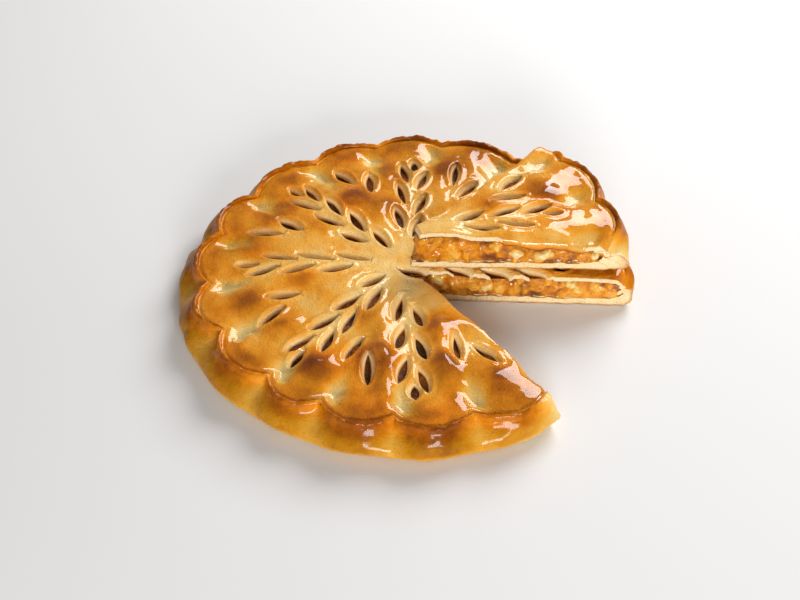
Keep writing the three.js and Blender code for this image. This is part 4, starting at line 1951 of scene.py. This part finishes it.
@dataclass(frozen=True)
class SkinRelief(Effect):
    """The fine unevenness of a baked and glazed skin."""

    name: str = "skin_relief"
    inputs: tuple[tuple[str, float], ...] = (("Fine", 1.4), ("Wide", 1.0), ("Blister", 24.0))
    output: str = "Height"
    output_kind: str = "NodeSocketFloat"

    def wire(self, bench: Bench, given: bpy.types.bpy_prop_collection) -> Socket:
        """Raises the skin.

        Args:
            bench: The group's bench.
            given: The group's inputs.

        Returns:
            The height.
        """
        place = bench.place()
        fine = bench.reckon("MULTIPLY", bench.noise(place, 850.0, 3.0), given["Fine"])
        wide = bench.reckon("MULTIPLY", bench.noise(place, 230.0, 3.0), given["Wide"])
        blister = bench.above(0.24, bench.cells(place, 300.0))
        patch = bench.above(bench.noise(place, 45.0, 2.0), 0.46)
        blister = bench.reckon("MULTIPLY", bench.reckon("MULTIPLY", blister, patch), given["Blister"])
        return bench.reckon("ADD", bench.reckon("ADD", fine, wide), blister)


@dataclass(frozen=True)
class CrustFinish:
    """Baked dough under a coat of egg wash."""

    roughness: float
    coat: float
    coat_roughness: float
    mottle: float
    relief: float
    bare_loss: float = 0.75

    def lay(self, bench: Bench) -> None:
        """Builds the material's nodes.

        Args:
            bench: The material's bench.
        """
        bare = bench.attribute("bare")
        inputs = {"Bake": bench.attribute("bake"), "Olive": bench.attribute("olive"), "Bare": bare}
        brown = bench.put("ShaderNodeGroup", node_tree=Browning().group())
        for name, value in {**inputs, "Mottle": self.mottle}.items():
            bench.fill(brown.inputs[name], value)
        skin = bench.put("ShaderNodeGroup", node_tree=SkinRelief().group())
        kept = bench.reckon("SUBTRACT", 1.0, bench.reckon("MULTIPLY", bare, self.bare_loss))
        bench.surface({
            "Base Color": brown.outputs["Color"],
            "Roughness": self.roughness,
            "Specular IOR Level": 0.0,
            "Coat Weight": bench.reckon("MULTIPLY", kept, self.coat),
            "Coat Roughness": self.coat_roughness,
            "Coat IOR": 1.46,
            "Normal": bench.bump(skin.outputs["Height"], self.relief, 0.0007),
        })


@dataclass(frozen=True)
class CrumbFinish:
    """The open crumb of a cut face, with painted shade in its pores."""

    cream: tuple[str, str] = ("f2c880", "ffeec4")
    # The pores are painted darker: painted shade in the crumb's holes.
    pore_shade_stops: Stops = ((0.05, "b98a4c"), (0.32, "ffffff"))
    pore_shade_share: float = 0.6
    toasted: str = "b9762c"

    def lay(self, bench: Bench) -> None:
        """Builds the material's nodes.

        Args:
            bench: The material's bench.
        """
        place = bench.place()
        pores = bench.cells(place, 480.0)
        cloud = bench.noise(place, 210.0, 4.0)
        cream = bench.blend(cloud, *(tone(code) for code in self.cream))
        # Painted shade in the pores, multiplied into the cream.
        crumb = bench.blend(self.pore_shade_share, cream, bench.ramp(pores, self.pore_shade_stops), "MULTIPLY")
        toast = bench.reckon("MULTIPLY", bench.attribute("toast"), bench.reckon("ADD", 0.45, cloud))
        height = bench.reckon("ADD", pores, bench.noise(place, 700.0, 2.0))
        bench.surface({
            "Base Color": bench.blend(toast, crumb, tone(self.toasted)),
            "Roughness": 0.72,
            "Subsurface Weight": 0.2,
            "Subsurface Radius": (1.0, 0.65, 0.35),
            "Subsurface Scale": 0.003,
            "Normal": bench.bump(height, 0.8, 0.0009),
        })


@dataclass(frozen=True)
class FruitFinish:
    """Apple in syrup, from the darkest jelly, partly painted shade where it lies under the lid, to the palest
    piece of apple.
    """

    stops: Stops = (
        (0.0, "3c1c04"), (0.22, "9a5208"), (0.45, "e48c10"),
        (0.65, "f8ac2c"), (0.82, "fac65a"), (1.0, "fde6a8"),
    )
    green_stops: Stops = ((0.0, "3c2a04"), (0.4, "a08010"), (0.75, "dcb83c"), (1.0, "f4e29a"))
    patch_stops: Stops = ((0.45, "000000"), (0.62, "707070"))

    def lay(self, bench: Bench) -> None:
        """Builds the material's nodes.

        Args:
            bench: The material's bench.
        """
        place = bench.place()
        wide = bench.noise(place, 210.0, 3.0)
        tint = bench.attribute("tint")
        amber = bench.ramp(bench.reckon("ADD", tint, bench.swing(wide, 0.3)), self.stops)
        patch = bench.ramp(bench.noise(place, 38.0, 1.0), self.patch_stops)
        height = bench.reckon("ADD", bench.noise(place, 560.0, 3.0), bench.reckon("MULTIPLY", wide, 1.4))
        bench.surface({
            "Base Color": bench.blend(patch, amber, bench.ramp(tint, self.green_stops)),
            "Roughness": 0.24,
            "Subsurface Weight": 0.2,
            "Subsurface Radius": (1.0, 0.6, 0.2),
            "Subsurface Scale": 0.005,
            "Specular IOR Level": 0.15,
            "Coat Weight": bench.attribute("wet"),
            "Coat Roughness": 0.06,
            "Normal": bench.bump(height, 1.0, 0.0016),
        })


class Finishes:
    """The pie's materials, each built once."""

    made: dict[Finish, bpy.types.Material] = {}
    recipes: dict[Finish, CrustFinish | CrumbFinish | FruitFinish] = {
        Finish.BAKED: CrustFinish(0.42, 0.42, 0.14, 0.9, 0.7),
        Finish.GLAZED: CrustFinish(0.34, 0.92, 0.07, 1.0, 1.1),
        Finish.CRUMB: CrumbFinish(),
        Finish.APPLE: FruitFinish(),
    }

    @classmethod
    def get(cls, finish: Finish) -> bpy.types.Material:
        """Gives a finish's material.

        Args:
            finish: Which finish.

        Returns:
            The material.
        """
        if finish not in cls.made:
            material = bpy.data.materials.new(finish.value)
            material.use_nodes = True
            material.node_tree.nodes.clear()
            cls.recipes[finish].lay(Bench(material.node_tree))
            cls.made[finish] = material
        return cls.made[finish]


# The studio


@dataclass(frozen=True)
class SoftBox:
    """One soft light."""

    name: str
    place: tuple[float, float, float]
    size: Pair
    power: float

    def hang(self, target: Vector) -> None:
        """Hangs the light and points it at a place.

        Args:
            target: The place.
        """
        light = bpy.data.lights.new(self.name, "AREA")
        light.shape = "RECTANGLE"
        light.size, light.size_y = self.size
        light.energy = self.power
        lamp = bpy.data.objects.new(self.name, light)
        bpy.context.scene.collection.objects.link(lamp)
        lamp.location = self.place
        lamp.rotation_euler = (target - Vector(self.place)).to_track_quat("-Z", "Y").to_euler()


@dataclass
class Studio:
    """The pale floor, the soft lights and the camera."""

    target: tuple[float, float, float] = (-0.0047, -0.0009, 0.0)
    distance: float = 1.212
    elevation_deg: float = 44.0
    lens: float = 76.5
    sensor: float = 36.0
    sky: float = 0.25
    sky_colour: tuple[float, float, float, float] = (1.0, 0.985, 0.96, 1.0)
    floor_size: float = 9.0
    floor_tones: tuple[str, str] = ("e4e3e3", "eae9e9")
    lit_place: tuple[float, float, float] = (0.0, 0.0, 0.03)
    lights: tuple[SoftBox, ...] = (
        SoftBox("back_right_box", (0.8, 1.1, 1.0), (1.2, 0.85), 31.0),
        SoftBox("front_fill", (0.28, -1.93, 0.62), (0.75, 0.55), 32.0),
    )

    def build(self) -> None:
        """Makes the floor, the lights, the sky and the camera."""
        self.lay_floor()
        for light in self.lights:
            light.hang(Vector(self.lit_place))
        world = bpy.data.worlds.new("studio_sky")
        world.use_nodes = True
        sky = world.node_tree.nodes["Background"]
        sky.inputs["Color"].default_value = self.sky_colour
        sky.inputs["Strength"].default_value = self.sky
        bpy.context.scene.world = world
        bpy.context.scene.view_settings.view_transform = "Standard"
        self.set_camera()

    def lay_floor(self) -> None:
        """Lays the pale floor just under the pie."""
        bpy.ops.object.select_all(action="DESELECT")
        bpy.ops.mesh.primitive_plane_add(size=self.floor_size)
        floor = bpy.context.active_object
        floor.name = "floor"
        material = bpy.data.materials.new("pale_floor")
        material.use_nodes = True
        bench = Bench(material.node_tree)
        shader = material.node_tree.nodes["Principled BSDF"]
        shade = bench.blend(bench.noise(bench.place(), 3.0, 1.0), *(tone(code) for code in self.floor_tones))
        bench.fill(shader.inputs["Base Color"], shade)
        bench.fill(shader.inputs["Roughness"], 0.75)
        floor.data.materials.append(material)

    def set_camera(self) -> None:
        """Sets the camera up at the pictured angle."""
        camera = bpy.data.cameras.new("camera")
        camera.lens = self.lens
        camera.sensor_width = self.sensor
        camera.clip_start = 0.05
        camera.clip_end = 30.0
        stand = bpy.data.objects.new("camera", camera)
        bpy.context.scene.collection.objects.link(stand)
        high = math.radians(self.elevation_deg)
        back = Vector((0.0, -math.cos(high), math.sin(high)))
        stand.location = Vector(self.target) + back * self.distance
        stand.rotation_euler = (-back).to_track_quat("-Z", "Y").to_euler()
        bpy.context.scene.camera = stand


def settle_piece(piece: Piece, node: str) -> None:
    """Puts a finished piece in the place of its solid.

    Args:
        piece: The object.
        node: The solid's name.
    """
    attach(piece, "root")
    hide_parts(node)
    piece.data.calc_loop_triangles()
    log.info("%s: %d triangles, in place of %s", piece.name, len(piece.data.loop_triangles), node)


def main() -> None:
    """Builds the studio and the pie."""
    logging.basicConfig(level=logging.INFO, format="%(name)s: %(message)s")
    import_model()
    Studio().build()
    form = PieForm()
    pattern = SlitPattern()
    rest = Portion("pie", -2.5, 308.5, sinks=(1.0, 0.25), tucks=((308.0, 3.4, 7.0),))
    rest_lid = SlitLid(form, rest, pattern, torn=True)
    cut_out = Portion("slice", -51.5, -5.0, tip_loss=7.0, turn_deg=50.5, apex_to=(-2.0, 0.0, 31.2), heel=6.0)
    swells = (
        Swell(0, 22.0, 48.0, 17.0, 4.0),
        Swell(0, 90.0, 24.0, 3.5, -1.2),
        Swell(1, 114.0, 8.0, 12.0, -1.6),
        Swell(1, 137.0, 8.0, 9.0, 3.0),
    )
    cut_out_lid = SlitLid(form, cut_out, pattern, False, LidBake(outer=0.14), 0.55, (62.0, 129.0), swells)
    for portion, lid, seed in ((rest, rest_lid, 5), (cut_out, cut_out_lid, 9)):
        settle_piece(BaseCrust(form, portion).build(), f"{portion.name}_base")
        filling = AppleFilling(form, portion, lid, seed)
        settle_piece(filling.build(), f"{portion.name}_filling")
        settle_piece(lid.build(), f"{portion.name}_lid")


if __name__ == "__main__":
    main()
